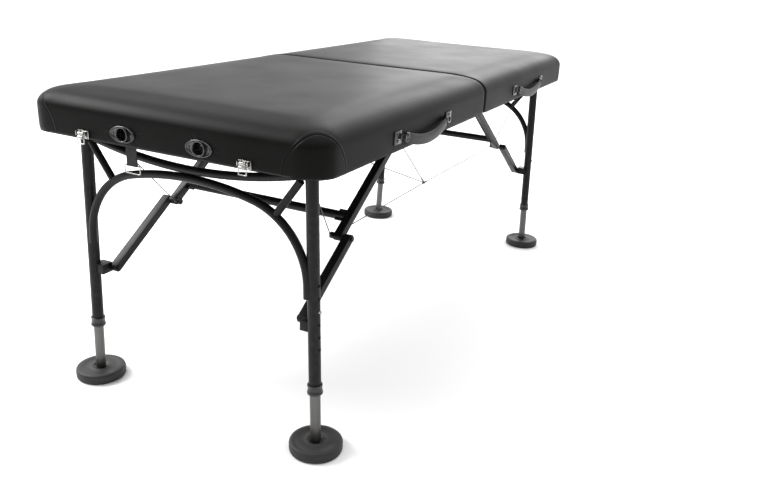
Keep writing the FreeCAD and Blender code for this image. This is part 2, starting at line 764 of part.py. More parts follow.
def make_pad(half, side):
    """Make one round floor pad with its dished seat for the post."""
    tag = "%s_pad_%s_" % (half, side)
    place = ("pivot_run", across(side, "leg_spread_floor"), "0")
    edge_top = (place[0], place[1], "pad_height - pad_edge")
    parts = [cone(tag + "foot", "pad_radius - pad_edge", "pad_radius", "pad_edge", place),
             rod(tag + "wall", "pad_radius", "pad_height - 2 * pad_edge",
                 (place[0], place[1], "pad_edge")),
             cone(tag + "shoulder", "pad_radius", "pad_radius - pad_edge", "pad_edge", edge_top)]
    dish = cone(tag + "dish", "pad_dish_floor", "pad_dish_rim", "pad_dish_depth",
                (place[0], place[1], "pad_height - pad_dish_depth"))
    pad = cut(tag + "body", fuse(tag + "solid", parts), [dish])
    node(pad, "pad_%s_%s" % (half, world_side(half, side)), half)


# The arch and the bow: tubes swept along arcs in a plane beside the legs.

def swept(name, edges, radius):
    """Sweep a round tube along a route in the leg set's own plane."""
    route = doc.addObject("Part::Feature", name + "_route")
    route.Shape = Part.Wire(edges)
    start = edges[0].valueAt(edges[0].FirstParameter)
    heading = edges[0].tangentAt(edges[0].FirstParameter)
    ring = doc.addObject("Part::Circle", name + "_ring")
    bind(ring, Radius=radius)
    ring.Placement = FreeCAD.Placement(start, Rotation(Vector(0, 0, 1), heading))
    sweep = doc.addObject("Part::Sweep", name)
    sweep.Sections = [ring]
    sweep.Spine = (route, ["Edge%d" % (i + 1) for i in range(len(edges))])
    sweep.Solid = True
    sweep.Frenet = False
    return sweep


def arch_bend():
    """Return the first and last turn of the arch's shoulder, its radius and its first drop."""
    flat_radius = size("arch_flat_radius")
    flat_turn = math.asin(size("arch_flat_reach") / flat_radius)
    flat_drop = size("arch_drop") + flat_radius * (1 - math.cos(flat_turn))
    end_turn = math.pi / 2 - math.radians(size("splay"))
    spread = size("arch_foot_reach") - size("arch_flat_reach")
    radius = spread / (math.sin(end_turn) - math.sin(flat_turn))
    return flat_turn, end_turn, radius, flat_drop


def shoulder(turn):
    """Return how far out and how far down the arch's shoulder is at a turn."""
    flat_turn, end_turn, radius, flat_drop = arch_bend()
    y = size("arch_flat_reach") + radius * (math.sin(turn) - math.sin(flat_turn))
    drop = flat_drop + radius * (math.cos(flat_turn) - math.cos(turn))
    return y, drop


def arch_route():
    """Return the edges of the arch, from one leg over to the other."""
    run = size("pivot_run") + size("arch_offset")
    high = size("pivot_height")
    flat_turn, end_turn, radius, flat_drop = arch_bend()
    mid = shoulder((flat_turn + end_turn) / 2)
    end = shoulder(end_turn)
    tail = (end[0] + size("arch_tail") * math.cos(end_turn),
            end[1] + size("arch_tail") * math.sin(end_turn))
    flat = (size("arch_flat_reach"), flat_drop)

    def spot(place, sign):
        return Vector(run, sign * place[0], high - place[1])

    top = Vector(run, 0, high - size("arch_drop"))
    return [Part.LineSegment(spot(tail, 1), spot(end, 1)).toShape(),
            Part.Arc(spot(end, 1), spot(mid, 1), spot(flat, 1)).toShape(),
            Part.Arc(spot(flat, 1), top, spot(flat, -1)).toShape(),
            Part.Arc(spot(flat, -1), spot(mid, -1), spot(end, -1)).toShape(),
            Part.LineSegment(spot(end, -1), spot(tail, -1)).toShape()]


def bow_route():
    """Return the one arc of the bow, which hangs down to the arch."""
    run = size("pivot_run") + size("arch_offset")
    high = size("pivot_height")
    low = high - size("arch_drop") + 2 * size("arch_radius") + size("fit_gap")
    ends = [Vector(run, sign * size("bow_reach"), low + size("bow_rise")) for sign in (1, -1)]
    return [Part.Arc(ends[0], Vector(run, 0, low), ends[1]).toShape()]


def link(name, radius, start, end):
    """Make a round bar between two points given as numbers."""
    bar = doc.addObject("Part::Cylinder", name)
    bind(bar, Radius=radius)
    bar.Height = (end - start).Length
    bar.Placement = FreeCAD.Placement(start, Rotation(Vector(0, 0, 1), end - start))
    return bar


def make_arches(half):
    """Make the arch, and the bow with its two stubs, cut to meet the tubes."""
    tag = half + "_"
    arch_solid = swept(tag + "arch_sweep", arch_route(), "arch_radius")
    cores = [leg_core(tag + "arch_core_" + side, side, "leg_radius + fit_gap / 2")
             for side in SIDES]
    node(cut(tag + "arch_body", arch_solid, cores), "arch_" + half, half)

    bow_solid = swept(tag + "bow_sweep", bow_route(), "arch_radius")
    run = size("pivot_run") + size("arch_offset")
    stubs = []
    flat_turn, end_turn, radius, flat_drop = arch_bend()
    foot_sine = math.sin(flat_turn) + (size("stub_foot_reach") - size("arch_flat_reach")) / radius
    foot_reach, foot_drop = shoulder(math.asin(foot_sine))
    for side, sign in SIDES.items():
        top = Vector(run, sign * size("stub_top_reach"), size("pivot_height") - size("stub_top_drop"))
        foot = Vector(run, sign * foot_reach, size("pivot_height") - foot_drop)
        stubs.append(link(tag + "stub_" + side, "stub_radius", top, foot))
    arch_core = swept(tag + "bow_arch_core", arch_route(), "arch_radius + fit_gap / 2")
    cores = [leg_core(tag + "bow_core_" + side, side, "leg_radius + fit_gap / 2")
             for side in SIDES]
    bow = cut(tag + "bow_body", fuse(tag + "bow_solid", [bow_solid] + stubs), [arch_core] + cores)
    node(bow, "bow_" + half, half)


# Folding braces. At rest the two struts of a brace lie in one straight line.

def strut(tag, length, start, side, lane):
    """Make one square strut with round ends, laid along the brace line."""
    half_size = "strut_half"
    bar = box(tag + "bar", (length, "strut_size", "strut_size"), ("0", "-strut_half", "-strut_half"))
    ends = [rod(tag + "end%d" % i, half_size, "strut_size", (place, "-strut_half", "0"), ALONG_Y)
            for i, place in enumerate(["0", length])]
    solid = fuse(tag + "solid", [bar] + ends)
    pins = [rod(tag + "pin%d" % i, "pivot_pin_radius + fit_gap", "2 * strut_size",
                (place, "-strut_size", "0"), ALONG_Y) for i, place in enumerate(["0", length])]
    item = cut(tag + "body", solid, pins)
    item.Placement = FreeCAD.Placement(Vector(), Rotation(Vector(0, 1, 0), 1))
    seat(item, (start[0], across(side, lane), start[1]))
    item.setExpression("Placement.Rotation.Angle", tied("brace_angle"))
    return item


def make_upper_struts(half):
    """Make the upper strut frame: two struts, knee knobs and a crossbar."""
    tag = half + "_upper_"
    parts = []
    for side in SIDES:
        parts.append(strut(tag + side + "_", "upper_length",
                           ("upper_anchor", "upper_anchor_height"), side, "upper_lane"))
        knob_y = y_span(side, "upper_lane - strut_half - knee_stand", "upper_lane + strut_half")
        parts.append(rod(tag + side + "_knob", "knee_radius", "knee_stand + strut_size",
                         ("knee_run", knob_y, "knee_height"), ALONG_Y))
        gusset = box(tag + side + "_gusset",
                     ("gusset_reach", "gusset_reach", "gusset_thick"),
                     ("0", "0", "0"))
        gusset.Placement = FreeCAD.Placement(Vector(), Rotation(Vector(0, 1, 0), 1))
        along = "(upper_length - crossbar_run - gusset_reach / 2)"
        seat(gusset, ("upper_anchor + %s * cos(brace_angle)" % along,
                      y_span(side, "upper_lane - gusset_reach", "upper_lane"),
                      "upper_anchor_height - %s * sin(brace_angle)" % along))
        gusset.setExpression("Placement.Rotation.Angle", tied("brace_angle"))
        parts.append(gusset)
    parts.append(rod(tag + "crossbar", "crossbar_radius", "2 * upper_lane",
                     ("knee_run - crossbar_run * cos(brace_angle)", "-upper_lane",
                      "knee_height + crossbar_run * sin(brace_angle)"), ALONG_Y))
    node(fuse(tag + "frame", parts), "upper_struts_" + half, half)


def make_lower_struts(half):
    """Make the two lower struts, hinged on the legs and open at the knee."""
    struts = []
    for side in SIDES:
        tag = "%s_lower_%s_" % (half, side)
        body = strut(tag, "lower_length", ("knee_run", "knee_height"), side, "lower_lane")
        head_y = y_span(side, "lower_lane", "lower_lane + strut_half + pin_head_thick")
        head = rod(tag + "head", "pin_head_radius", "strut_half + pin_head_thick",
                   ("knee_run", head_y, "knee_height"), ALONG_Y)
        struts.append(fuse(tag + "whole", [body, head]))
    node(group(half + "_lower_struts", struts), "lower_struts_" + half, half)


def make_lugs(half):
    """Make the lug and pin on each leg that carry a lower strut."""
    lugs = []
    run = "pivot_run - lug_offset"
    height = "pivot_height - brace_drop"
    for side in SIDES:
        tag = "%s_lug_%s_" % (half, side)
        inner = "lower_lane + strut_half + bracket_side_gap"
        block = box(tag + "block", ("lug_offset + lug_back", "leg_spread_floor - lower_lane - strut_half",
                                    "2 * lug_low"),
                    (run, y_span(side, inner, inner + " + leg_spread_floor - lower_lane - strut_half"),
                     height + " - lug_low"))
        boss = rod(tag + "boss", "bracket_under - fit_gap", "leg_radius / 2",
                   (run, y_span(side, inner, inner + " + leg_radius / 2"), height), ALONG_Y)
        pin_low = "lower_lane - strut_half"
        pin = rod(tag + "pin", "pivot_pin_radius", "strut_size + bracket_side_gap + pin_head_thick",
                  (run, y_span(side, pin_low, pin_low + " + strut_size + bracket_side_gap"
                               " + pin_head_thick"), height), ALONG_Y)
        head = rod(tag + "head", "pin_head_radius", "pin_head_thick",
                   (run, y_span(side, "lower_lane - strut_half - bracket_side_gap - pin_head_thick",
                                "lower_lane - strut_half - bracket_side_gap"), height), ALONG_Y)
        neck = rod(tag + "neck", "pivot_pin_radius", "pin_head_thick",
                   (run, y_span(side, "lower_lane - strut_half - 2 * bracket_side_gap",
                                "lower_lane - strut_half - 2 * bracket_side_gap + pin_head_thick"),
                    height), ALONG_Y)
        solid = fuse(tag + "solid", [block, boss, pin, head, neck])
        core = leg_core(tag + "core", side, "leg_radius + fit_gap / 2")
        beyond = box(tag + "beyond", ("4 * lug_reach", "4 * lug_reach", "4 * lug_reach"),
                     (run, y_span(side, "leg_spread_top + lug_low - leg_wall",
                                  "leg_spread_top + lug_low - leg_wall + 4 * lug_reach"),
                      height + " - 2 * lug_reach"))
        lugs.append(cut(tag + "body", solid, [core, beyond]))
    node(group(half + "_lugs", lugs), "strut_lugs_" + half, half)


# Carry handles, both on the right long side of the open table.

HANDLE_SIDE = {"near": "left", "far": "right"}


def make_handle(half):
    """Make the bowed grip and the two fittings that hold it."""
    side = HANDLE_SIDE[half]
    sign = SIDES[side]
    tag = half + "_handle_"
    pivot_y = size("face_side") + size("fitting_stand") - size("handle_pin_radius")
    half_span = size("handle_span") / 2
    run, high = size("handle_run"), size("handle_height")
    ends = [Vector(run + k * half_span, sign * pivot_y, high) for k in (-1, 1)]
    low = high - size("handle_droop")
    top = Vector(run, sign * (pivot_y + size("handle_bow")), low)
    route = doc.addObject("Part::Feature", tag + "route")
    route.Shape = Part.Wire([Part.Arc(ends[0], top, ends[1]).toShape()])
    heading = route.Shape.Edges[0].tangentAt(route.Shape.Edges[0].FirstParameter)
    strip = doc.addObject("Part::Ellipse", tag + "section")
    bind(strip, MajorRadius="handle_width / 2", MinorRadius="handle_thick / 2")
    upright = Rotation(Vector(0, 0, 1), Vector(0, 1, 0), heading, "ZXY")
    strip.Placement = FreeCAD.Placement(ends[0], upright)
    grip = doc.addObject("Part::Sweep", tag + "grip")
    grip.Sections = [strip]
    grip.Spine = (route, ["Edge1"])
    grip.Solid = True
    grip.Frenet = False
    pivot = "(face_side + fitting_stand - handle_pin_radius)"
    axle = rod(tag + "axle", "handle_pin_radius",
               "handle_span + 2 * handle_end_gap + 2 * fitting_ear",
               ("handle_run - handle_span / 2 - handle_end_gap - fitting_ear",
                across(side, pivot), "handle_height"), ALONG_X)
    node(fuse(tag + "body", [grip, axle]), "handle_" + half, half)

    fittings = []
    for i, k in enumerate((-1, 1)):
        name = tag + "fitting%d_" % i
        inner = "handle_run + (%d) * (handle_span / 2 + handle_end_gap)" % k
        low = inner if k > 0 else inner + " - fitting_length"
        plate_item = box(name + "plate", ("fitting_length", "fitting_plate", "fitting_height"),
                         (low, y_span(side, "face_side", "face_side + fitting_plate"),
                          "handle_height - fitting_height / 2"))
        ear_low = inner if k > 0 else inner + " - fitting_ear"
        ear = box(name + "ear", ("fitting_ear", "fitting_stand + fitting_ear", "fitting_stand"),
                  (ear_low, y_span(side, "face_side", "face_side + fitting_stand + fitting_ear"),
                   "handle_height - fitting_stand / 2"))
        screws = []
        for j, rise in enumerate((-1, 1)):
            screws.append(rod("%sscrew%d" % (name, j), "fitting_ear", "2 * fitting_plate",
                              (low + " + fitting_length / 2 + (%d) * fitting_ear" % k,
                               across(side, "face_side"),
                               "handle_height + (%d) * fitting_height / 4" % rise),
                              outward(side)))
        bore = rod(name + "bore", "handle_pin_radius + fit_gap", "4 * fitting_ear",
                   (inner + " - 2 * fitting_ear", across(side, pivot), "handle_height"), ALONG_X)
        fittings.append(cut(name + "body", fuse(name + "solid", [plate_item, ear] + screws), [bore]))
    node(group(tag + "fittings", fittings), "handle_fittings_" + half, half)


# Draw latches on the near end, keepers on the far end.

def make_latch(side):
    """Make the plate, lever and wire loop of one draw latch."""
    tag = "latch_%s_" % side
    middle = across(side, "latch_spread")
    base = box(tag + "base", ("latch_plate", "latch_width", "latch_high - latch_low"),
               ("plate_run", middle + " - latch_width / 2", "lower_edge + latch_low"))
    parts = [base]
    for i, low in enumerate(["ear_inner", "-ear_inner - ear_thick"]):
        parts.append(box(tag + "ear%d" % i,
                         ("latch_plate + latch_pin_stand + 2 * latch_pin_radius", "ear_thick",
                          "6 * latch_pin_radius"),
                         ("plate_run", middle + " + " + low,
                          "latch_pin_height - 3 * latch_pin_radius")))
    pin = rod(tag + "pin", "latch_pin_radius", "2 * ear_inner + 2 * ear_thick",
              ("latch_pin_run", middle + " - ear_inner - ear_thick", "latch_pin_height"), ALONG_Y)
    plate_body = fuse(tag + "plate_body", parts + [pin])

    hub = rod(tag + "hub", "latch_pin_radius + lever_thick", "2 * lever_half",
              ("latch_pin_run", middle + " - lever_half", "latch_pin_height"), ALONG_Y)
    arm_low = "lower_edge + lever_low"
    arm = box(tag + "arm", ("lever_thick", "2 * lever_half", "latch_pin_height - (%s)" % arm_low),
              ("latch_pin_run - lever_thick / 2", middle + " - lever_half", arm_low))
    lip = box(tag + "lip", ("lever_lip", "2 * lever_half", "lever_thick"),
              ("latch_pin_run - lever_thick / 2", middle + " - lever_half", arm_low))
    axle = rod(tag + "loop_axle", "loop_radius", "2 * loop_half",
               ("latch_pin_run + lever_thick", middle + " - loop_half", "loop_height"), ALONG_Y)
    cheek = rod(tag + "cheek", "2 * loop_radius", "2 * lever_half",
                ("latch_pin_run + lever_thick", middle + " - lever_half", "loop_height"), ALONG_Y)
    hub_bore = rod(tag + "hub_bore", "latch_pin_radius + fit_gap", "4 * lever_half",
                   ("latch_pin_run", middle + " - 2 * lever_half", "latch_pin_height"), ALONG_Y)
    cheek_bore = rod(tag + "cheek_bore", "loop_radius + fit_gap", "4 * lever_half",
                     ("latch_pin_run + lever_thick", middle + " - 2 * lever_half", "loop_height"),
                     ALONG_Y)
    lever = cut(tag + "lever_body", fuse(tag + "lever_solid", [hub, arm, lip, cheek]),
                [hub_bore, cheek_bore])
    node(lever, "latch_lever_" + world_side("near", side), "near")

    loop_low = "lower_edge - loop_under"
    wires = [axle]
    for i, sign in enumerate((-1, 1)):
        wires.append(rod("%sloop_leg%d" % (tag, i), "loop_radius",
                         "loop_height - (%s)" % loop_low,
                         ("latch_pin_run + lever_thick", middle + " + (%d) * loop_half" % sign,
                          loop_low)))
    wires.append(rod(tag + "loop_bar", "loop_radius", "2 * loop_half",
                     ("latch_pin_run + lever_thick", middle + " - loop_half", loop_low), ALONG_Y))
    node(fuse(tag + "loop_body", wires), "latch_loop_" + world_side("near", side), "near")
    return plate_body


def make_keeper(side):
    """Make one hooked keeper."""
    tag = "keeper_%s_" % side
    middle = across(side, "latch_spread")
    base = box(tag + "base", ("latch_plate", "2 * keeper_half", "keeper_high - keeper_low"),
               ("plate_run", middle + " - keeper_half", "lower_edge + keeper_low"))
    arm = box(tag + "arm", ("keeper_reach + keeper_arm", "2 * keeper_half", "keeper_arm"),
              ("plate_run", middle + " - keeper_half", "lower_edge + keeper_low"))
    lip = box(tag + "lip", ("keeper_arm / 2", "2 * keeper_half", "keeper_lip"),
              ("face_run + keeper_reach + keeper_arm / 2 + fit_gap", middle + " - keeper_half",
               "lower_edge + keeper_low"))
    return fuse(tag + "body", [base, arm, lip])


# Web strap with its wire ring, under the near end.

def make_strap():
    """Make the hanging strap and the ring in its eye."""
    side = "right"
    low_y = across(side, "strap_across") + " - strap_width / 2"
    web = box("strap_web", ("strap_thick", "strap_width", "strap_hang"),
              ("strap_run - strap_thick / 2", low_y, "strap_height - strap_hang"))
    crown = rod("strap_crown", "strap_thick / 2", "strap_width",
                ("strap_run", low_y, "strap_height"), ALONG_Y)
    eye = rod("strap_eye", "strap_eye_radius", "strap_width",
              ("strap_run", low_y, "strap_height - strap_hang"), ALONG_Y)
    bore = rod("strap_bore", "strap_bore_radius", "2 * strap_width",
               ("strap_run", low_y + " - strap_width / 2", "strap_height - strap_hang"), ALONG_Y)
    strap = cut("strap_body", fuse("strap_solid", [web, crown, eye]), [bore])

    ring_y = across(side, "strap_across") + " - ring_width / 2"
    top = "strap_height - strap_hang"
    wires = [rod("ring_top", "ring_radius", "ring_width", ("strap_run", ring_y, top), ALONG_Y),
             rod("ring_base", "ring_radius", "ring_width",
                 ("strap_run", ring_y, top + " - ring_hang"), ALONG_Y)]
    for i, offset in enumerate(["0", "ring_width"]):
        wires.append(rod("ring_leg%d" % i, "ring_radius", "ring_hang",
                         ("strap_run", ring_y + " + " + offset, top + " - ring_hang")))
        for j, high in enumerate([top, top + " - ring_hang"]):
            ball = doc.addObject("Part::Sphere", "ring_turn%d%d" % (i, j))
            bind(ball, Radius="ring_radius")
            wires.append(seat(ball, ("strap_run", ring_y + " + " + offset, high)))
    ring = fuse("strap_ring_body", wires)
    node(group("strap_and_ring", [strap, ring]), "hanging_strap", "near")


# Steel stays: a short one from each leg head to its knee, and the long ones
# of the right side, which meet at a hub under the centre hinge.

STAY_SIDE = {"near": "left", "far": "right"}


def make_stays(half):
    """Make the stays that ride on one half."""
    stays = []
    knee_run, knee_height = size("knee_run"), size("knee_height")
    reach, lane = size("stay_knee_reach"), size("stay_knee_across")
    for side, sign in SIDES.items():
        top = Vector(size("pivot_run") + size("stay_radius"), sign * size("stay_top_across"),
                     size("pivot_height"))
        knee = Vector(knee_run + reach, sign * lane, knee_height)
        stays.append(link("%s_stay_%s" % (half, side), "stay_radius", top, knee))
    sign = SIDES[STAY_SIDE[half]]
    hub = Vector(0, sign * size("hub_across"), size("hub_height"))
    knee = Vector(knee_run - reach, sign * lane, knee_height)
    clear = (knee - hub).normalize() * (size("hub_radius") + size("fit_gap"))
    start = hub if half == "near" else hub + clear
    long_stay = link(half + "_long_stay", "stay_radius", start, knee)
    if half == "near":
        head = Vector(size("stay_board_run"), sign * size("stay_board_across"),
                      size("stay_board_height"))
        centre = Vector(size("half_gap") + size("leaf_reach") + size("hub_radius"), 0,
                        size("stay_board_height"))
        ball = doc.addObject("Part::Sphere", "stay_hub")
        bind(ball, Radius="hub_radius")
        ball.Placement.Base = hub
        bars = [long_stay, link("head_stay", "stay_radius", hub, head),
                link("centre_stay", "stay_radius", hub, centre), ball]
        stays.append(fuse("near_long_stays", bars))
    else:
        stays.append(long_stay)
    node(group(half + "_stays", stays), "stays_" + half, half)


for half in HALVES:
    make_deck(half)
    make_sockets(half)
    make_hinge_leaves(half)
    make_brackets(half)
    make_leg_tubes(half)
    make_bushes(half)
    make_arches(half)
    make_upper_struts(half)
    make_lower_struts(half)
    make_lugs(half)
    make_handle(half)
    make_stays(half)
    for side in SIDES:
        make_post(half, side)
        make_button(half, side)
        make_pad(half, side)
make_hinge_pins()
plates = [make_latch(side) for side in SIDES]
node(group("latch_plates_body", plates), "latch_plates", "near")
keepers = [make_keeper(side) for side in SIDES]
node(group("keepers_body", keepers), "keepers", "far")
make_strap()

# Recompute, check and export.
doc.recompute()
for item in doc.Objects:
    if "Invalid" in item.State or "Error" in item.State:
        raise RuntimeError("%s did not compute: %s" % (item.Label, item.State))
for item in nodes:
    shape = item.Shape
    if shape.isNull() or not shape.isValid() or not shape.Solids:
        raise RuntimeError("%s has no valid solid" % item.Label)
    shape.exportStep("parts/%s.step" % item.Label)
    print(item.Label, len(shape.Solids), round(shape.Volume))
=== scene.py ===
import math
import bpy
import bmesh
import numpy as np
from mathutils import Matrix, Vector


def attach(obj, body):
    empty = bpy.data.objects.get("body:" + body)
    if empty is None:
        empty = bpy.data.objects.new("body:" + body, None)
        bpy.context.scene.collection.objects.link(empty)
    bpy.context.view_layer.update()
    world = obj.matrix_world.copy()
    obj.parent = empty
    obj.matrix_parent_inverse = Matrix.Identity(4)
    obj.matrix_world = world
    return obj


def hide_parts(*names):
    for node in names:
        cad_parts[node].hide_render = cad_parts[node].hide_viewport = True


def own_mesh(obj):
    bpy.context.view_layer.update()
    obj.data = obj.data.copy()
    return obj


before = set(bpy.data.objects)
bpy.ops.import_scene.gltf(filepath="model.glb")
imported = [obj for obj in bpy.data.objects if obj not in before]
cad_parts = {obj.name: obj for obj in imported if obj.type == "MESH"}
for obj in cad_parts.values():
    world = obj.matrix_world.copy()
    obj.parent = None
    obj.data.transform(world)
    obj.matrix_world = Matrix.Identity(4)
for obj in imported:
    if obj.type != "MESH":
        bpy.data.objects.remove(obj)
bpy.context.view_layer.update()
MM = 0.001

# Deck covers. Each half of the deck is foam on a board, under one cover of
# smooth black vinyl that is pulled down over the wooden rim. The cover is
# shaped as a closed block, blown up a little as cloth, and given its wall.
DECK_LOW = 0.658
HALF_LENGTH = 0.9
HALF_WIDTH = 0.385
COVER_HEIGHTS = [0.4, 4.0, 10.0, 30.0, 48.0, 61.0, 66.0, 71.0, 77.0, 83.0, 88.5, 92.8, 95.8, 97.3, 98.0]
COVER_INSETS = [2.4, 1.2, 0.9, 0.8, 0.8, 0.9, 1.7, 3.8, 7.6, 13.0, 20.0, 29.0, 41.0, 58.0, 88.0]
HINGE_INSETS = [0.0, 0.0, 0.0, 0.0, 0.0, 0.0, 0.0, 0.0, 0.0, 0.0, 0.5, 1.5, 3.0, 5.6, 12.0]
COVER_VOXEL = 0.006
COVER_SWELL = 4.6 * MM
COVER_WALL = 1.0 * MM
COVER_TURN = 61.0
HINGE_TURN = 9.0
SWELL_FROM = 62 * MM
SWELL_OVER = 24 * MM
SOCKET_ACROSS = 0.1
SOCKET_RISE = 0.026
SOCKET_HOLE = 0.0165


def pick(*objects):
    """Select only these objects, with the first one active."""
    bpy.ops.object.select_all(action="DESELECT")
    for item in objects:
        item.select_set(True)
    bpy.context.view_layer.objects.active = objects[0]


def new_piece(name, mesh):
    """Link a new object with this mesh, at the origin."""
    piece = bpy.data.objects.new(name, mesh)
    bpy.context.scene.collection.objects.link(piece)
    return piece


def finished(name, bm):
    """Turn a finished bmesh into a new piece."""
    mesh = bpy.data.meshes.new(name)
    bm.to_mesh(mesh)
    bm.free()
    return new_piece(name, mesh)


def skin(bm, rings):
    """Join closed rings of points with faces, one ring to the next."""
    for low, high in zip(rings, rings[1:]):
        for k in range(len(low)):
            n = (k + 1) % len(low)
            bm.faces.new((low[k], low[n], high[n], high[k]))


def modify(piece, kind, **settings):
    """Add one modifier to a piece and apply it."""
    pick(piece)
    modifier = piece.modifiers.new(kind.lower(), kind)
    for key, value in settings.items():
        setattr(modifier, key, value)
    bpy.ops.object.modifier_apply(modifier=modifier.name)


def smooth(piece, angle):
    """Shade a piece smooth, but keep edges sharper than the angle."""
    pick(piece)
    bpy.ops.object.shade_smooth_by_angle(angle=math.radians(angle))


def edit(piece, *steps):
    """Run edit mode operators on a whole piece, each a name and its options."""
    pick(piece)
    bpy.ops.object.mode_set(mode="EDIT")
    bpy.ops.mesh.select_all(action="SELECT")
    for name, options in steps:
        getattr(bpy.ops.mesh, name)(**options)
    bpy.ops.object.mode_set(mode="OBJECT")


def rounded_plan(inset, hinge_inset, outer_turn, hinge_turn, steps=7):
    """Return the plan outline of the far half, in metres, anticlockwise."""
    u_low, u_high = 0.5 * MM + hinge_inset, HALF_LENGTH - inset
    wide = HALF_WIDTH - inset
    corners = [(u_high, -wide, outer_turn, -90), (u_high, wide, outer_turn, 0),
               (u_low, wide, hinge_turn, 90), (u_low, -wide, hinge_turn, 180)]
    points = []
    for u, y, radius, start in corners:
        middle_u = u - math.copysign(radius, u - HALF_LENGTH / 2)
        middle_y = y - math.copysign(radius, y)
        for k in range(steps + 1):
            turn = math.radians(start + 90 * k / steps)
            points.append((middle_u + radius * math.cos(turn), middle_y + radius * math.sin(turn)))
    return points


def add(tree, kind, inputs=(), out=0, **settings):
    """Add a shader node, set its options, and set or link its inputs."""
    made = tree.nodes.new(kind)
    for key, value in settings.items():
        setattr(made, key, value)
    filled = inputs.items() if isinstance(inputs, dict) else enumerate(inputs)
    for socket, value in filled:
        if isinstance(value, bpy.types.NodeSocket):
            tree.links.new(value, made.inputs[socket])
        elif value is not None:
            made.inputs[socket].default_value = value
    return made.outputs[out]


def sums(tree, kind, *values):
    """Add a math node and return its result."""
    return add(tree, "ShaderNodeMath", values, operation=kind)


def spread(tree, value, low, high, to_low=0.0, to_high=1.0):
    """Map a value smoothly from one range to another."""
    return add(tree, "ShaderNodeMapRange", {"Value": value, "From Min": low, "From Max": high,
                                            "To Min": to_low, "To Max": to_high},
               interpolation_type="SMOOTHSTEP")


def mixed(tree, share, first, second):
    """Mix two colours by a share."""
    return add(tree, "ShaderNodeMix", {0: share, 6: first, 7: second}, out=2, data_type="RGBA")


def finish_of(name, colour, roughness, metallic=0.0, **plain):
    """Start a material and return it with its tree and its shader."""
    material = bpy.data.materials.new(name)
    material.use_nodes = True
    tree = material.node_tree
    shader = tree.nodes["Principled BSDF"]
    shader.inputs["Base Color"].default_value = (*colour, 1.0)
    shader.inputs["Roughness"].default_value = roughness
    shader.inputs["Metallic"].default_value = metallic
    for key, value in plain.items():
        shader.inputs[key.replace("_", " ")].default_value = value
    return material, tree, shader


def new_group(name, inputs, outputs):
    """Start a shader node group and return it with its two end nodes."""
    group = bpy.data.node_groups.new(name, "ShaderNodeTree")
    for key, value in inputs:
        socket = group.interface.new_socket(name=key, in_out="INPUT", socket_type="NodeSocketFloat")
        socket.default_value = value
    for key in outputs:
        group.interface.new_socket(name=key, in_out="OUTPUT", socket_type="NodeSocketFloat")
    return group, group.nodes.new("NodeGroupInput"), group.nodes.new("NodeGroupOutput")


def place_group(tree, group, **inputs):
    """Place a node group in a material, with its own values."""
    made = tree.nodes.new("ShaderNodeGroup")
    made.node_tree = group
    for key, value in inputs.items():
        made.inputs[key.replace("_", " ")].default_value = value
    return made.outputs


def grain_group():
    """Fine pebbled grain with creases, as a height and a tone."""
    group, start, end = new_group("pebbled_grain", [("Scale", 900.0), ("Crease", 0.4)],
                                  ["Height", "Tone"])
    place = add(group, "ShaderNodeTexCoord", out=3)
    cells = add(group, "ShaderNodeTexVoronoi", {"Vector": place, "Scale": start.outputs["Scale"]},
                feature="SMOOTH_F1")
    fine = add(group, "ShaderNodeTexNoise", {"Vector": place, "Scale": start.outputs["Scale"],
                                             "Detail": 3.0})
    share = sums(group, "MULTIPLY", cells, start.outputs["Crease"])
    height = sums(group, "SUBTRACT", fine, share)
    tone = add(group, "ShaderNodeTexNoise", {"Vector": place, "Scale": 7.0, "Detail": 4.0})
    group.links.new(height, end.inputs["Height"])
    group.links.new(tone, end.inputs["Tone"])
    return group


PEBBLED = grain_group()


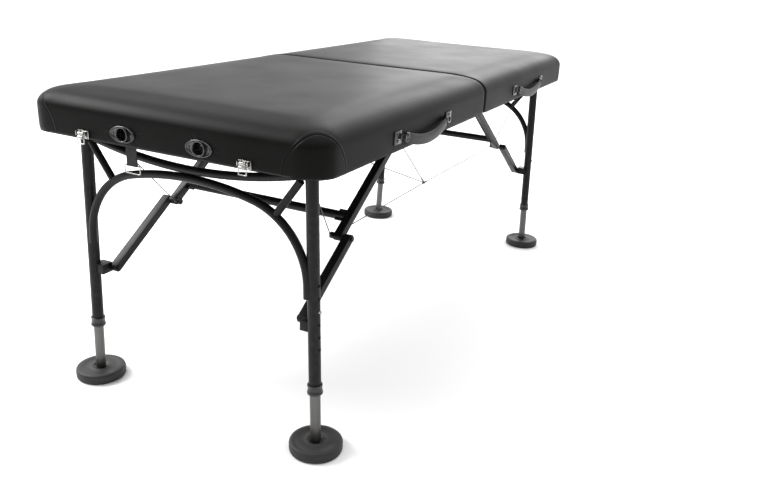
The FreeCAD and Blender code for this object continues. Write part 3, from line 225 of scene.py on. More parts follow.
def vinyl_finish():
    """Black vinyl with sewn corner seams, painted shade in their grooves, and puckers at the sockets."""
    material, tree, shader = finish_of("black_vinyl", (0.0045, 0.0044, 0.0041), 0.42,
                                       Specular_IOR_Level=0.06)
    place = add(tree, "ShaderNodeTexCoord", out=3)
    axes = add(tree, "ShaderNodeSeparateXYZ", [place]).node.outputs
    far = sums(tree, "ABSOLUTE", axes[0])
    wide = sums(tree, "ABSOLUTE", axes[1])
    # distance from the slanted axis of a corner patch, an arch 84 mm high and 124 mm wide
    du = sums(tree, "SUBTRACT", far, 0.816)
    dy = sums(tree, "SUBTRACT", wide, 0.301)
    dz = sums(tree, "SUBTRACT", axes[2], DECK_LOW)
    along = sums(tree, "MULTIPLY", sums(tree, "SUBTRACT", du, dy), 0.70711 * 84 / 62)
    reach = sums(tree, "SQRT", sums(tree, "ADD", sums(tree, "POWER", along, 2.0),
                                    sums(tree, "POWER", dz, 2.0)))
    beyond = sums(tree, "GREATER_THAN", sums(tree, "ADD", du, dy), 0.0)
    off = sums(tree, "SUBTRACT", reach, 0.084)
    near_seam = sums(tree, "ABSOLUTE", off)
    groove = sums(tree, "MULTIPLY", spread(tree, near_seam, 0.0, 0.0016, 1.0, 0.0), beyond)
    welt = sums(tree, "MULTIPLY", spread(tree, sums(tree, "ABSOLUTE", sums(tree, "SUBTRACT", off, 0.0035)),
                                         0.0, 0.003, 1.0, 0.0), beyond)
    # puckers that run out from each socket flange
    sy = sums(tree, "MULTIPLY", sums(tree, "SUBTRACT", wide, SOCKET_ACROSS), 0.62)
    sz = sums(tree, "SUBTRACT", axes[2], DECK_LOW + SOCKET_RISE)
    radius = sums(tree, "SQRT", sums(tree, "ADD", sums(tree, "POWER", sy, 2.0),
                                     sums(tree, "POWER", sz, 2.0)))
    ray = add(tree, "ShaderNodeCombineXYZ", [sums(tree, "DIVIDE", sy, radius),
                                             sums(tree, "DIVIDE", sz, radius),
                                             sums(tree, "MULTIPLY", axes[1], 3.0)])
    rays = add(tree, "ShaderNodeTexNoise", {"Vector": ray, "Scale": 3.4, "Detail": 2.0})
    fade = sums(tree, "MULTIPLY", spread(tree, radius, 0.018, 0.036, 1.0, 0.0),
                sums(tree, "GREATER_THAN", far, 0.885))
    pucker = sums(tree, "MULTIPLY", sums(tree, "SUBTRACT", rays, 0.5), fade)
    grain = place_group(tree, PEBBLED, Scale=1400.0, Crease=0.35)
    first = add(tree, "ShaderNodeBump", {"Strength": 0.10, "Distance": 0.0004, "Height": grain["Height"]})
    shape = sums(tree, "ADD", sums(tree, "MULTIPLY", pucker, 3.0),
                 sums(tree, "SUBTRACT", sums(tree, "MULTIPLY", welt, 0.45), groove))
    second = add(tree, "ShaderNodeBump", {"Strength": 1.0, "Distance": 0.0012, "Height": shape,
                                          "Normal": first})
    tree.links.new(second, shader.inputs["Normal"])
    tone = spread(tree, grain["Tone"], 0.3, 0.7)
    base = mixed(tree, tone, (0.0038, 0.0037, 0.0034, 1), (0.0052, 0.0051, 0.0048, 1))
    # painted shade: the seam groove is darkened in the base colour
    dark = mixed(tree, groove, base, (0.002, 0.002, 0.002, 1))
    tree.links.new(dark, shader.inputs["Base Color"])
    rough = add(tree, "ShaderNodeMapRange", {"Value": grain["Tone"], "From Min": 0.3, "From Max": 0.7,
                                             "To Min": 0.40, "To Max": 0.46})
    tree.links.new(rough, shader.inputs["Roughness"])
    return material


def cover_block():
    """Loft the cover of the far half as a closed block."""
    bm = bmesh.new()
    rings = []
    for height, inset, hinge_inset in zip(COVER_HEIGHTS, COVER_INSETS, HINGE_INSETS):
        plan = rounded_plan(inset * MM, hinge_inset * MM, (COVER_TURN - 0.35 * inset) * MM,
                            (HINGE_TURN - 0.05 * inset) * MM)
        rings.append([bm.verts.new((u, y, DECK_LOW + height * MM)) for u, y in plan])
    skin(bm, rings)
    bm.faces.new(list(reversed(rings[0])))
    bm.faces.new(rings[-1])
    return finished("deck_cover_far", bm)


def drop_faces(piece, unwanted):
    """Delete the faces of a piece that a test on centre and normal picks."""
    bm = bmesh.new()
    bm.from_mesh(piece.data)
    bmesh.ops.delete(bm, geom=[f for f in bm.faces if unwanted(f.calc_center_median(), f.normal)],
                     context="FACES")
    bm.to_mesh(piece.data)
    bm.free()


def blow_up(piece, pressure, freedom, cap, evening):
    """Swell a piece as cloth where the test leaves it free, then even out and cap its moves."""
    start = [v.co.copy() for v in piece.data.vertices]
    hold = piece.vertex_groups.new(name="held")
    for i, place in enumerate(start):
        hold.add([i], 1.0 - min(max(freedom(place), 0.0), 1.0), "REPLACE")
    cloth = piece.modifiers.new("cloth", "CLOTH")
    cloth.settings.use_pressure = True
    cloth.settings.uniform_pressure_force = pressure
    cloth.settings.vertex_group_mass = "held"
    cloth.settings.tension_stiffness = 25
    cloth.settings.compression_stiffness = 25
    cloth.settings.shear_stiffness = 12
    cloth.settings.bending_stiffness = 30
    cloth.settings.effector_weights.gravity = 0
    cloth.settings.quality = 6
    cloth.point_cache.frame_start = 1
    cloth.point_cache.frame_end = 20
    for step in range(1, 21):
        bpy.context.scene.frame_set(step)
    pick(piece)
    bpy.ops.object.modifier_apply(modifier=cloth.name)
    bpy.context.scene.frame_set(1)
    mesh = piece.data
    ends = np.array([tuple(edge.vertices) for edge in mesh.edges])
    first = np.array(start)
    moves = np.array([v.co for v in mesh.vertices]) - first
    count = len(moves)
    near = np.bincount(ends.ravel(), minlength=count)
    for step in range(evening):
        for axis in range(3):
            total = (np.bincount(ends[:, 0], moves[ends[:, 1], axis], count)
                     + np.bincount(ends[:, 1], moves[ends[:, 0], axis], count))
            moves[:, axis] = total / np.maximum(near, 1)
    reach = np.linalg.norm(moves, axis=1, keepdims=True) + 1e-9
    mesh.vertices.foreach_set("co", (first + moves / reach * cap * np.tanh(reach / cap)).ravel())


cover = cover_block()
cover.data.remesh_voxel_size = COVER_VOXEL
pick(cover)
bpy.ops.object.voxel_remesh()
drop_faces(cover, lambda c, n: n.z < -0.5 and c.z < DECK_LOW + 6 * MM)
blow_up(cover, 3.0, lambda p: (p.z - DECK_LOW - SWELL_FROM) / SWELL_OVER, COVER_SWELL, 60)
modify(cover, "SMOOTH", factor=0.5, iterations=3)
drop_faces(cover, lambda c, n: n.x > 0.7 and math.hypot(
    abs(c.y) - SOCKET_ACROSS, c.z - DECK_LOW - SOCKET_RISE) < SOCKET_HOLE)
modify(cover, "SOLIDIFY", thickness=COVER_WALL, offset=-1.0)
bpy.ops.object.shade_smooth()
VINYL = vinyl_finish()
covers = {"far": cover, "near": new_piece("deck_cover_near", cover.data.copy())}
covers["near"].data.transform(Matrix.Rotation(math.pi, 4, "Z"))
for half, piece in covers.items():
    piece.data.materials.clear()
    piece.data.materials.append(VINYL)
    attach(piece, half + "_half")
    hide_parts("cushion_" + half, "side_wrap_" + half, "corner_panels_" + half)

# Hems. Under each rim the vinyl is turned in and tacked down, with an edge
# strip on the three outer sides. It is a thin flat band, flush with the rim.
HEM_IN = 18.5
HEM_HIGH = 0.22
HEM_TOP = 0.26
HEM_START = 19.5


def hem_band(half):
    """Make the U-shaped band under one rim."""
    bm = bmesh.new()
    outer = rounded_plan(2.0 * MM, 19 * MM, 60 * MM, 3 * MM)
    inner = rounded_plan(HEM_IN * MM, 19 * MM, 45 * MM, 3 * MM)
    sides = []
    for plan in (outer, inner):
        chain = plan[24:] + plan[:16]
        chain = [p for p in chain if p[0] > 0.03]
        ends = (HEM_START * MM, chain[0][1]), (HEM_START * MM, chain[-1][1])
        line = [ends[0]] + chain + [ends[1]]
        sides.append([bm.verts.new((u, y, DECK_LOW + HEM_TOP * MM)) for u, y in line])
    for k in range(len(sides[0]) - 1):
        bm.faces.new((sides[1][k], sides[1][k + 1], sides[0][k + 1], sides[0][k]))
    piece = finished("hem_" + half, bm)
    modify(piece, "SOLIDIFY", thickness=HEM_HIGH * MM, offset=1.0)
    edit(piece, ("normals_make_consistent", {"inside": False}))
    if half == "near":
        piece.data.transform(Matrix.Rotation(math.pi, 4, "Z"))
    piece.data.materials.append(VINYL)
    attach(piece, half + "_half")


for half in covers:
    hem_band(half)

# Boards and rims. The board is 5 mm plywood stained black, and the rim is
# black stained hardwood, glued and screwed to it. Both are the CAD solids.


def wood_finish(name, light, dark, along):
    """Stained wood with grain lines along one axis."""
    material, tree, shader = finish_of(name, light[:3], 0.6)
    place = add(tree, "ShaderNodeTexCoord", out=3)
    scale = [9.0, 9.0, 9.0]
    scale["XYZ".index(along)] = 0.6
    drawn = add(tree, "ShaderNodeMapping", {"Vector": place, "Scale": scale})
    lines = add(tree, "ShaderNodeTexNoise", {"Vector": drawn, "Scale": 14.0, "Detail": 6.0,
                                             "Distortion": 0.6})
    pores = add(tree, "ShaderNodeTexNoise", {"Vector": drawn, "Scale": 90.0, "Detail": 2.0})
    share = spread(tree, lines, 0.35, 0.65)
    tree.links.new(mixed(tree, share, light, dark), shader.inputs["Base Color"])
    height = sums(tree, "ADD", lines, sums(tree, "MULTIPLY", pores, 0.5))
    bump = add(tree, "ShaderNodeBump", {"Strength": 0.25, "Distance": 0.0006, "Height": height})
    tree.links.new(bump, shader.inputs["Normal"])
    tree.links.new(spread(tree, pores, 0.3, 0.7, 0.5, 0.7), shader.inputs["Roughness"])
    return material


def dress(node, material):
    """Give a CAD node that stays in the picture its finish."""
    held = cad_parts[node].data.materials
    held.clear()
    held.append(material)


BOARD = wood_finish("stained_plywood", (0.016, 0.0145, 0.013, 1), (0.009, 0.008, 0.007, 1), "X")
RIM = wood_finish("stained_rim", (0.013, 0.011, 0.0095, 1), (0.007, 0.006, 0.0055, 1), "X")
for half in covers:
    dress("deck_board_" + half, BOARD)
    dress("rim_rails_" + half, RIM)

# Sockets. Two moulded black plastic sockets in each end take the rods of a
# head or arm rest. Each has an oval flange with a rolled rim, a dished face
# with a ribbed ring round the bore, and two sunk screws.
END_FACE = 0.8992
OVAL_HALF = 33.5
OVAL_RISE = 18.0
SCREW_REACH = 25.5
FLANGE_STEPS = [(0.0, 0.05), (0.0, 1.6), (0.25, 2.6), (0.9, 3.3), (1.8, 3.5), (2.7, 3.2), (3.3, 2.5),
                (3.7, 1.7), (4.4, 1.25)]
SOCKET_PROFILE = [(15.45, -46.0), (15.45, 0.6), (16.4, 0.6), (16.6, 2.9), (16.5, 4.4), (16.1, 5.2),
                  (15.4, 5.5), (14.6, 5.35), (13.7, 4.9), (13.1, 4.0), (12.92, 2.8), (12.92, -45.4),
                  (13.4, -46.0)]
SCREW_PROFILE = [(0.01, 0.8), (2.9, 0.8), (3.15, 1.5), (3.1, 2.2), (2.6, 2.9), (1.5, 3.3), (0.01, 3.4)]


def turned(name, profile, steps=64):
    """Spin a closed profile of radius and height, in mm, about the z axis."""
    mesh = bpy.data.meshes.new(name)
    count = len(profile)
    mesh.from_pydata([(r * MM, 0, z * MM) for r, z in profile],
                     [(k, (k + 1) % count) for k in range(count)], [])
    piece = new_piece(name, mesh)
    edit(piece, ("spin", {"steps": steps, "angle": 2 * math.pi, "center": (0, 0, 0),
                          "axis": (0, 0, 1)}),
         ("select_all", {"action": "SELECT"}),
         ("remove_doubles", {"threshold": 0.000004}),
         ("normals_make_consistent", {"inside": False}))
    return piece


def joined(name, pieces):
    """Join pieces into one object with this name."""
    pick(*pieces)
    bpy.ops.object.join()
    whole = bpy.context.view_layer.objects.active
    whole.name = whole.data.name = name
    return whole


def copied(piece, name, place):
    """Copy a piece with its own mesh, moved by a matrix."""
    other = new_piece(name, piece.data.copy())
    other.data.transform(place)
    return other


def moulded_finish(name, colour, roughness, scale, depth, gloss=0.5):
    """Moulded plastic with a fine spark-eroded texture and light scuffs."""
    material, tree, shader = finish_of(name, colour, roughness, Specular_IOR_Level=gloss)
    grain = place_group(tree, PEBBLED, Scale=scale, Crease=0.2)
    bump = add(tree, "ShaderNodeBump", {"Strength": depth, "Distance": 0.0003,
                                        "Height": grain["Height"]})
    tree.links.new(bump, shader.inputs["Normal"])
    tree.links.new(spread(tree, grain["Tone"], 0.3, 0.75, roughness * 0.85, roughness * 1.2),
                   shader.inputs["Roughness"])
    lighter = tuple(c * 1.35 for c in colour) + (1,)
    tone = mixed(tree, spread(tree, grain["Tone"], 0.35, 0.75), (*colour, 1), lighter)
    tree.links.new(tone, shader.inputs["Base Color"])
    return material


def oval_flange():
    """Loft the oval flange from its rim in to the ring, with a closed back."""
    bm = bmesh.new()
    steps = 96
    points = []
    for k in range(steps):
        c, s = math.cos(2 * math.pi * k / steps), math.sin(2 * math.pi * k / steps)
        column = [((OVAL_HALF - inset) * c, (OVAL_RISE - inset) * s, high)
                  for inset, high in FLANGE_STEPS]
        column.append((15.6 * c, 15.6 * s, 1.0))
        column.append((15.3 * c, 15.3 * s, 0.05))
        points.append([bm.verts.new((y * MM, -x * MM, z * MM)) for x, y, z in column])
    for k in range(steps):
        here, there = points[k], points[(k + 1) % steps]
        for n in range(len(here)):
            m = (n + 1) % len(here)
            bm.faces.new((here[n], there[n], there[m], here[m]))
    bmesh.ops.recalc_face_normals(bm, faces=bm.faces)
    return finished("socket_flange", bm)


def rib(name, size, place):
    """Make one small rib with rounded edges from a cube."""
    bpy.ops.object.select_all(action="DESELECT")
    bpy.ops.mesh.primitive_cube_add(size=1.0)
    piece = bpy.context.active_object
    piece.name = name
    piece.data.transform(Matrix.Diagonal((*[s * MM for s in size], 1)))
    modify(piece, "BEVEL", width=min(size) * 0.3 * MM, segments=2)
    piece.data.transform(place)
    return piece


SOCKET_PLASTIC = moulded_finish("socket_plastic", (0.008, 0.008, 0.008), 0.16, 1800.0, 0.04, 0.7)
BLACK_SCREW = moulded_finish("black_screw", (0.012, 0.012, 0.012), 0.2, 2400.0, 0.05, 1.0)
one_socket = turned("socket_turned", SOCKET_PROFILE)
one_rib = rib("socket_rib", (1.3, 1.1, 3.0), Matrix.Translation((16.6 * MM, 0, 2.6 * MM)))
ribs = [copied(one_rib, "socket_rib_%d" % k, Matrix.Rotation(math.radians(15 * k), 4, "Z"))
        for k in range(24)]
one_socket = joined("socket_with_ribs", [one_socket, oval_flange(), one_rib] + ribs)
one_screw = turned("socket_screw", SCREW_PROFILE, 24)
slot_cut = rib("socket_screw_slot", (5.0, 0.8, 1.4), Matrix.Translation((0, 0, 3.3 * MM)))
modify(one_screw, "BOOLEAN", operation="DIFFERENCE", object=slot_cut, solver="EXACT")
bpy.data.objects.remove(slot_cut)
for half, turn in (("near", math.pi), ("far", 0.0)):
    pair, screws = [], []
    for y in (-SOCKET_ACROSS, SOCKET_ACROSS):
        facing = (Matrix.Rotation(turn, 4, "Z") @ Matrix.Translation((END_FACE, y, DECK_LOW + SOCKET_RISE))
                  @ Matrix.Rotation(math.pi / 2, 4, "Y"))
        pair.append(copied(one_socket, "socket_one", facing))
        for reach in (-SCREW_REACH, SCREW_REACH):
            screws.append(copied(one_screw, "screw_one",
                                 facing @ Matrix.Translation((0, reach * MM, 0))
                                 @ Matrix.Rotation(reach, 4, "Z")))
    pair = joined("sockets_dressed_" + half, pair)
    screws = joined("socket_screws_" + half, screws)
    for piece, finish in ((pair, SOCKET_PLASTIC), (screws, BLACK_SCREW)):
        piece.data.materials.append(finish)
        smooth(piece, 35)
        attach(piece, half + "_half")
    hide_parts("sockets_" + half)
bpy.data.objects.remove(one_socket)
bpy.data.objects.remove(one_screw)

# Pressed and machined steel. Hinges, brackets, pins, struts, lugs, latches
# and keepers are the CAD solids with their edges rounded over, as a press,
# a lathe or a coat of powder leaves them.


def eased(name, nodes, body, material, width, segments=2, angle=28):
    """Round the edges of a copy of CAD nodes, which it then stands for."""
    meshes = [new_piece(name + "_part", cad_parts[n].data.copy()) for n in nodes]
    piece = joined(name, meshes) if len(meshes) > 1 else meshes[0]
    piece.name = piece.data.name = name
    piece.data.materials.clear()
    piece.data.materials.append(material)
    edit(piece, ("remove_doubles", {"threshold": 0.00001}),
         ("dissolve_limited", {"angle_limit": math.radians(1.0)}))
    modify(piece, "BEVEL", width=width * MM, segments=segments, limit_method="ANGLE",
           angle_limit=math.radians(angle), use_clamp_overlap=True)
    smooth(piece, 40)
    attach(piece, body)
    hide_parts(*nodes)
    return piece


def rub_group():
    """Rubbed edges and faint dust, as two masks."""
    group, start, end = new_group("rubbed_and_dusty", [("Wear", 0.5), ("Scale", 60.0)],
                                  ["Rubbed", "Dust"])
    place = add(group, "ShaderNodeTexCoord", out=3)
    spot = add(group, "ShaderNodeTexNoise", {"Vector": place, "Scale": start.outputs["Scale"],
                                             "Detail": 5.0})
    edge = add(group, "ShaderNodeNewGeometry", out=7)
    sharp = spread(group, edge, 0.53, 0.62)
    patch = spread(group, spot, 0.42, 0.68)
    rubbed = sums(group, "MULTIPLY", sums(group, "MULTIPLY", sharp, patch), start.outputs["Wear"])
    dust = spread(group, spot, 0.55, 0.8)
    group.links.new(rubbed, end.inputs["Rubbed"])
    group.links.new(dust, end.inputs["Dust"])
    return group


RUBBED = rub_group()


def coated_finish(name, colour, roughness, bare=(0.05, 0.05, 0.052), wear=0.12):
    """Powder coat: an orange peel skin, thin on the edges."""
    material, tree, shader = finish_of(name, colour, roughness, Specular_IOR_Level=0.18)
    grain = place_group(tree, PEBBLED, Scale=950.0, Crease=0.5)
    marks = place_group(tree, RUBBED, Wear=wear, Scale=75.0)
    bump = add(tree, "ShaderNodeBump", {"Strength": 0.08, "Distance": 0.0003,
                                        "Height": grain["Height"]})
    tree.links.new(bump, shader.inputs["Normal"])
    dusty = mixed(tree, sums(tree, "MULTIPLY", marks["Dust"], 0.2), (*colour, 1),
                  tuple(c * 1.5 for c in colour) + (1,))
    tree.links.new(mixed(tree, marks["Rubbed"], dusty, (*bare, 1)), shader.inputs["Base Color"])
    tree.links.new(spread(tree, grain["Tone"], 0.3, 0.7, roughness * 0.88, roughness * 1.15),
                   shader.inputs["Roughness"])
    return material


def metal_finish(name, colour, roughness, streak=(1, 1, 1), streaks=0.3, scale=400.0):
    """Bare or plated metal with drawn streaks and finger marks."""
    material, tree, shader = finish_of(name, colour, roughness, 1.0)
    place = add(tree, "ShaderNodeTexCoord", out=3)
    drawn = add(tree, "ShaderNodeMapping", {"Vector": place, "Scale": streak})
    lines = add(tree, "ShaderNodeTexNoise", {"Vector": drawn, "Scale": scale, "Detail": 3.0})
    marks = place_group(tree, RUBBED, Wear=0.3, Scale=45.0)
    height = sums(tree, "MULTIPLY", lines, streaks)
    bump = add(tree, "ShaderNodeBump", {"Strength": 0.3, "Distance": 0.0002, "Height": height})
    tree.links.new(bump, shader.inputs["Normal"])
    rough = sums(tree, "ADD", spread(tree, lines, 0.3, 0.7, roughness * 0.8, roughness * 1.2),
                 sums(tree, "MULTIPLY", marks["Dust"], 0.08))
    tree.links.new(rough, shader.inputs["Roughness"])
    tone = mixed(tree, spread(tree, lines, 0.3, 0.7), (*[c * 0.86 for c in colour], 1), (*colour, 1))
    tree.links.new(tone, shader.inputs["Base Color"])
    return material


HINGE_STEEL = metal_finish("zinc_hinge", (0.42, 0.42, 0.41), 0.34, (1, 0.1, 1))
PIN_STEEL = metal_finish("zinc_pin", (0.5, 0.5, 0.5), 0.3, (1, 0.1, 1))
BLACK_STEEL = coated_finish("black_powder_coat", (0.0048, 0.0048, 0.0046), 0.4)
NICKEL = metal_finish("bright_nickel", (0.40, 0.395, 0.38), 0.16, (1, 1, 0.2), 0.15)
# painted shade: a darkened copy of the nickel for the handle caps and plates, for the dark surroundings
# they reflect
SHADED_NICKEL = metal_finish("shaded_nickel", (0.075, 0.075, 0.074), 0.24, (1, 1, 0.2), 0.2)
EASED = [("hinge_leaves", ["hinge_leaves_"], "%s_half", HINGE_STEEL, "steel_hinge", 0.4, 2),
         ("deck_brackets", ["leg_brackets_", "strut_brackets_"], "%s_half", BLACK_STEEL,
          "black_steel", 0.6, 2),
         ("pivot_pins", ["pivot_pins_"], "%s_half", PIN_STEEL, "steel_pin", 0.7, 3),
         ("upper_struts", ["upper_struts_"], "upper_%s", BLACK_STEEL, "black_steel", 1.6, 3),
         ("lower_struts", ["lower_struts_"], "lower_%s", BLACK_STEEL, "black_steel", 1.6, 3),
         ("strut_lugs", ["strut_lugs_"], "legs_%s", BLACK_STEEL, "black_steel", 1.0, 3)]
for half in covers:
    for kind, nodes, body, steel, slot, width, segments in EASED:
        eased(kind + "_eased_" + half, [node + half for node in nodes], body % half, steel, width,
              segments)
eased("hinge_pins_eased", ["hinge_pins"], "hinge_pin", PIN_STEEL, 0.5)

# Leg sets. Two steel tubes, an arch and a bow with two stubs, all welded and
# powder coated black. The tubes are the CAD solids.
for half in covers:
    for kind in ("leg_tubes_", "arch_", "bow_"):
        dress(kind + half, BLACK_STEEL)

# Collars. A moulded black plastic bush closes each leg tube and guides the
# post. It has a rolled upper lip, a waist and a flange at its foot.
COLLAR_PROFILE = [(14.1, -528.5), (14.1, -511.2), (14.7, -510.5), (16.2, -510.5), (17.2, -511.2),
                  (17.5, -512.4), (17.2, -513.8), (16.6, -514.6), (16.6, -526.5), (17.3, -527.4),
                  (18.0, -528.6), (18.0, -532.4), (17.3, -534.0), (16.0, -534.5), (13.4, -534.5),
                  (12.55, -533.6), (12.55, -528.5)]
COLLAR_PLASTIC = moulded_finish("collar_plastic", (0.0095, 0.0095, 0.0095), 0.34, 1500.0, 0.1)
LEG_RUN = 0.805
LEG_ACROSS = 0.304
PAD_ACROSS = 0.3267
PIVOT_HIGH = 0.6785
SPLAY = math.atan((PAD_ACROSS - LEG_ACROSS) / PIVOT_HIGH)


def leg_place(half, side):
    """Return the matrix of a leg's own frame: origin at its pivot, z along it."""
    turn = Matrix.Rotation(math.pi if half == "near" else 0.0, 4, "Z")
    sign = (1 if side == "left" else -1) * (1 if half == "far" else -1)
    return (turn @ Matrix.Translation((LEG_RUN, sign * LEG_ACROSS, PIVOT_HIGH))
            @ Matrix.Rotation(sign * SPLAY, 4, "X"))


one_collar = turned("collar_turned", COLLAR_PROFILE)
for half in covers:
    pair = [copied(one_collar, "collar_one", leg_place(half, side)) for side in ("left", "right")]
    pair = joined("leg_collars_" + half, pair)
    pair.data.materials.append(COLLAR_PLASTIC)
    smooth(pair, 40)
    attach(pair, "legs_" + half)
    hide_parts("leg_bushes_" + half)
bpy.data.objects.remove(one_collar)

# Posts, buttons and floor pads. The posts are drawn aluminium with a row of
# holes, each caught by a steel snap button, and stand in black rubber discs.
POST_ALUMINIUM = metal_finish("drawn_aluminium", (0.13, 0.128, 0.125), 0.36, (1, 1, 0.03), 0.5, 700.0)
BUTTON_PROFILE = [(0.01, 0.0), (3.75, 0.0), (3.75, 4.3), (3.5, 5.0), (2.8, 5.6), (1.6, 5.95), (0.01, 6.05)]
PAD_PROFILE = [(0.01, 0.0), (55.0, 0.0), (57.6, 0.5), (60.2, 2.2), (61.3, 4.6), (61.5, 8.0),
               (61.5, 18.5), (61.1, 21.4), (59.9, 23.8), (57.6, 25.4), (54.6, 26.0), (47.0, 25.6),
               (44.5, 24.6), (43.0, 23.9), (27.5, 23.9), (25.5, 24.7), (23.6, 25.7), (21.4, 25.9),
               (19.7, 25.2), (18.2, 23.4), (12.7, 20.8), (0.01, 20.8)]
RUBBER = moulded_finish("pad_rubber", (0.0135, 0.0133, 0.013), 0.6, 420.0, 0.3, 0.4)
BUTTON_OUT = 0.0124
BUTTON_DROP = 0.344 - 0.6785
one_button = turned("button_turned", BUTTON_PROFILE, 24)
one_pad = turned("pad_turned", PAD_PROFILE, 72)
for half in covers:
    for side in ("left", "right"):
        leg = half + "_" + side
        dress("post_" + leg, POST_ALUMINIUM)
        sign = (1 if side == "left" else -1) * (1 if half == "far" else -1)
        outside = leg_place(half, side) @ Matrix.Translation((0, sign * BUTTON_OUT, BUTTON_DROP))
        facing = outside @ Matrix.Rotation(-sign * math.pi / 2, 4, "X")
        button = copied(one_button, "snap_button_" + leg, facing)
        button.data.materials.append(NICKEL)
        foot = (LEG_RUN if half == "far" else -LEG_RUN, PAD_ACROSS if side == "left" else -PAD_ACROSS, 0.0)
        pad = copied(one_pad, "floor_pad_" + leg, Matrix.Translation(foot))
        pad.data.materials.append(RUBBER)
        for piece, body, node, slot in ((button, "button_", "button_", "button_steel"),
                                        (pad, "pad_", "pad_", "pad_rubber")):
            smooth(piece, 40)
            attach(piece, body + leg)
            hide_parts(node + leg)
bpy.data.objects.remove(one_button)
bpy.data.objects.remove(one_pad)

# Carry handles. Each is a padded grip of stitched vinyl over a web core, with
# piped edges, held in nickel end caps on pins. It hangs from two screwed
# plates and swings up for carrying. The caps and plates take a darkened copy
# of the nickel, painted shade for the dark surroundings that it reflects.
GRIP_RUN = 430.0
GRIP_SPAN = 125.0
GRIP_BACK = 392.7
GRIP_HIGH = 690.0
GRIP_OUT = 7.0
GRIP_DROP = 22.0
GRIP_WIDE = 23.0
GRIP_THICK = 7.6
STUD_PROFILE = [(0.01, -0.6), (2.4, -0.6), (2.4, 0.1), (1.9, 0.75), (0.01, 1.05)]
AXLE_PROFILE = [(0.01, 0.0), (2.0, 0.0), (2.45, 0.5), (2.45, 15.0), (2.1, 15.6), (0.01, 15.9)]


def grip_point(share):
    """Return a point of the grip's arc and its direction, in mm about its middle."""
    half_chord, sag = GRIP_SPAN, math.hypot(GRIP_OUT, GRIP_DROP)
    radius = (half_chord ** 2 + sag ** 2) / (2 * sag)
    turn = (2 * share - 1) * math.asin(half_chord / radius)
    drop = radius * math.cos(turn) - (radius - sag)
    slope = -math.tan(turn)
    out, down = GRIP_OUT / sag, GRIP_DROP / sag
    place = Vector((radius * math.sin(turn), -out * drop, -down * drop))
    heading = Vector((1.0, -out * slope, -down * slope)).normalized()
    return place, heading


def swept(name, stations, section, closed_ends=True):
    """Sweep sections, each a list of across and up offsets in mm, along the grip."""
    bm = bmesh.new()
    rings = []
    for share in stations:
        place, heading = grip_point(share)
        across_way = heading.cross(Vector((0, 0, 1))).normalized()
        up = across_way.cross(heading).normalized()
        rings.append([bm.verts.new((place + across_way * a + up * b) * MM) for a, b in section(share)])
    skin(bm, rings)
    if closed_ends:
        bm.faces.new(list(reversed(rings[0])))
        bm.faces.new(rings[-1])
    bmesh.ops.recalc_face_normals(bm, faces=bm.faces)
    return finished(name, bm)


def lens(share, wide, thick, steps=28):
    """Return a rounded section that narrows near the ends of the grip."""
    away = min(share, 1 - share) / 0.12
    size = min(1.0, 0.72 + 0.28 * math.sin(min(away, 1.0) * math.pi / 2))
    points = []
    for k in range(steps):
        turn = 2 * math.pi * k / steps
        c, s = math.cos(turn), math.sin(turn)
        points.append((thick / 2 * size * math.copysign(abs(c) ** 0.85, c),
                       wide / 2 * size * math.copysign(abs(s) ** 0.85, s)))
    return points


def piping(share, side):
    """Return the round section of the piping on one edge of the grip."""
    edge = max(b for _, b in lens(share, GRIP_WIDE, GRIP_THICK))
    return [(1.25 * math.cos(math.radians(45 * k)), side * edge + 1.25 * math.sin(math.radians(45 * k)))
            for k in range(8)]


def handle_pieces(half):
    """Make the grip and its metal ends for one half."""
    stations = [k / 44 for k in range(45)]
    grip = swept("grip_core", [0.012 + 0.976 * t for t in stations],
                 lambda t: lens(t, GRIP_WIDE, GRIP_THICK))
    blow_up(grip, 2.0, lambda p: (0.108 - abs(p.x)) / 0.01, 0.5 * MM, 4)
    modify(grip, "SUBSURF", levels=1)
    cords = [swept("grip_piping", [0.02 + 0.96 * t for t in stations], lambda t, e=e: piping(t, e))
             for e in (-1, 1)]
    grip = joined("grip_" + half, [grip] + cords)
    caps = []
    for end in (-1, 1):
        shares = [0.5 + end * (0.5 - 0.05 * k / 6) for k in range(7)]
        cap = swept("grip_cap", shares, lambda t: lens(t, 27.5, 10.4), closed_ends=False)
        modify(cap, "SOLIDIFY", thickness=0.7 * MM, offset=-1.0)
        modify(cap, "BEVEL", width=0.25 * MM, segments=2, limit_method="ANGLE")
        caps.append(cap)
        for rise in (-5.0, 5.0):
            stud = turned("grip_stud", STUD_PROFILE, 16)
            place, _ = grip_point(0.5 + end * 0.473)
            stud.data.transform(Matrix.Translation((place + Vector((0, -4.6, rise))) * MM)
                                @ Matrix.Rotation(math.pi / 2, 4, "X"))
            caps.append(stud)
        axle = turned("grip_axle", AXLE_PROFILE, 24)
        axle.data.transform(Matrix.Translation((end * 117.4 * MM, 0, 0))
                            @ Matrix.Rotation(end * math.pi / 2, 4, "Y"))
        caps.append(axle)
    metal = joined("grip_ends_" + half, caps)
    for piece in (grip, metal):
        piece.data.transform(Matrix.Translation(((GRIP_RUN if half == "far" else -GRIP_RUN) * MM,
                                                 -GRIP_BACK * MM, GRIP_HIGH * MM)))
    return grip, metal


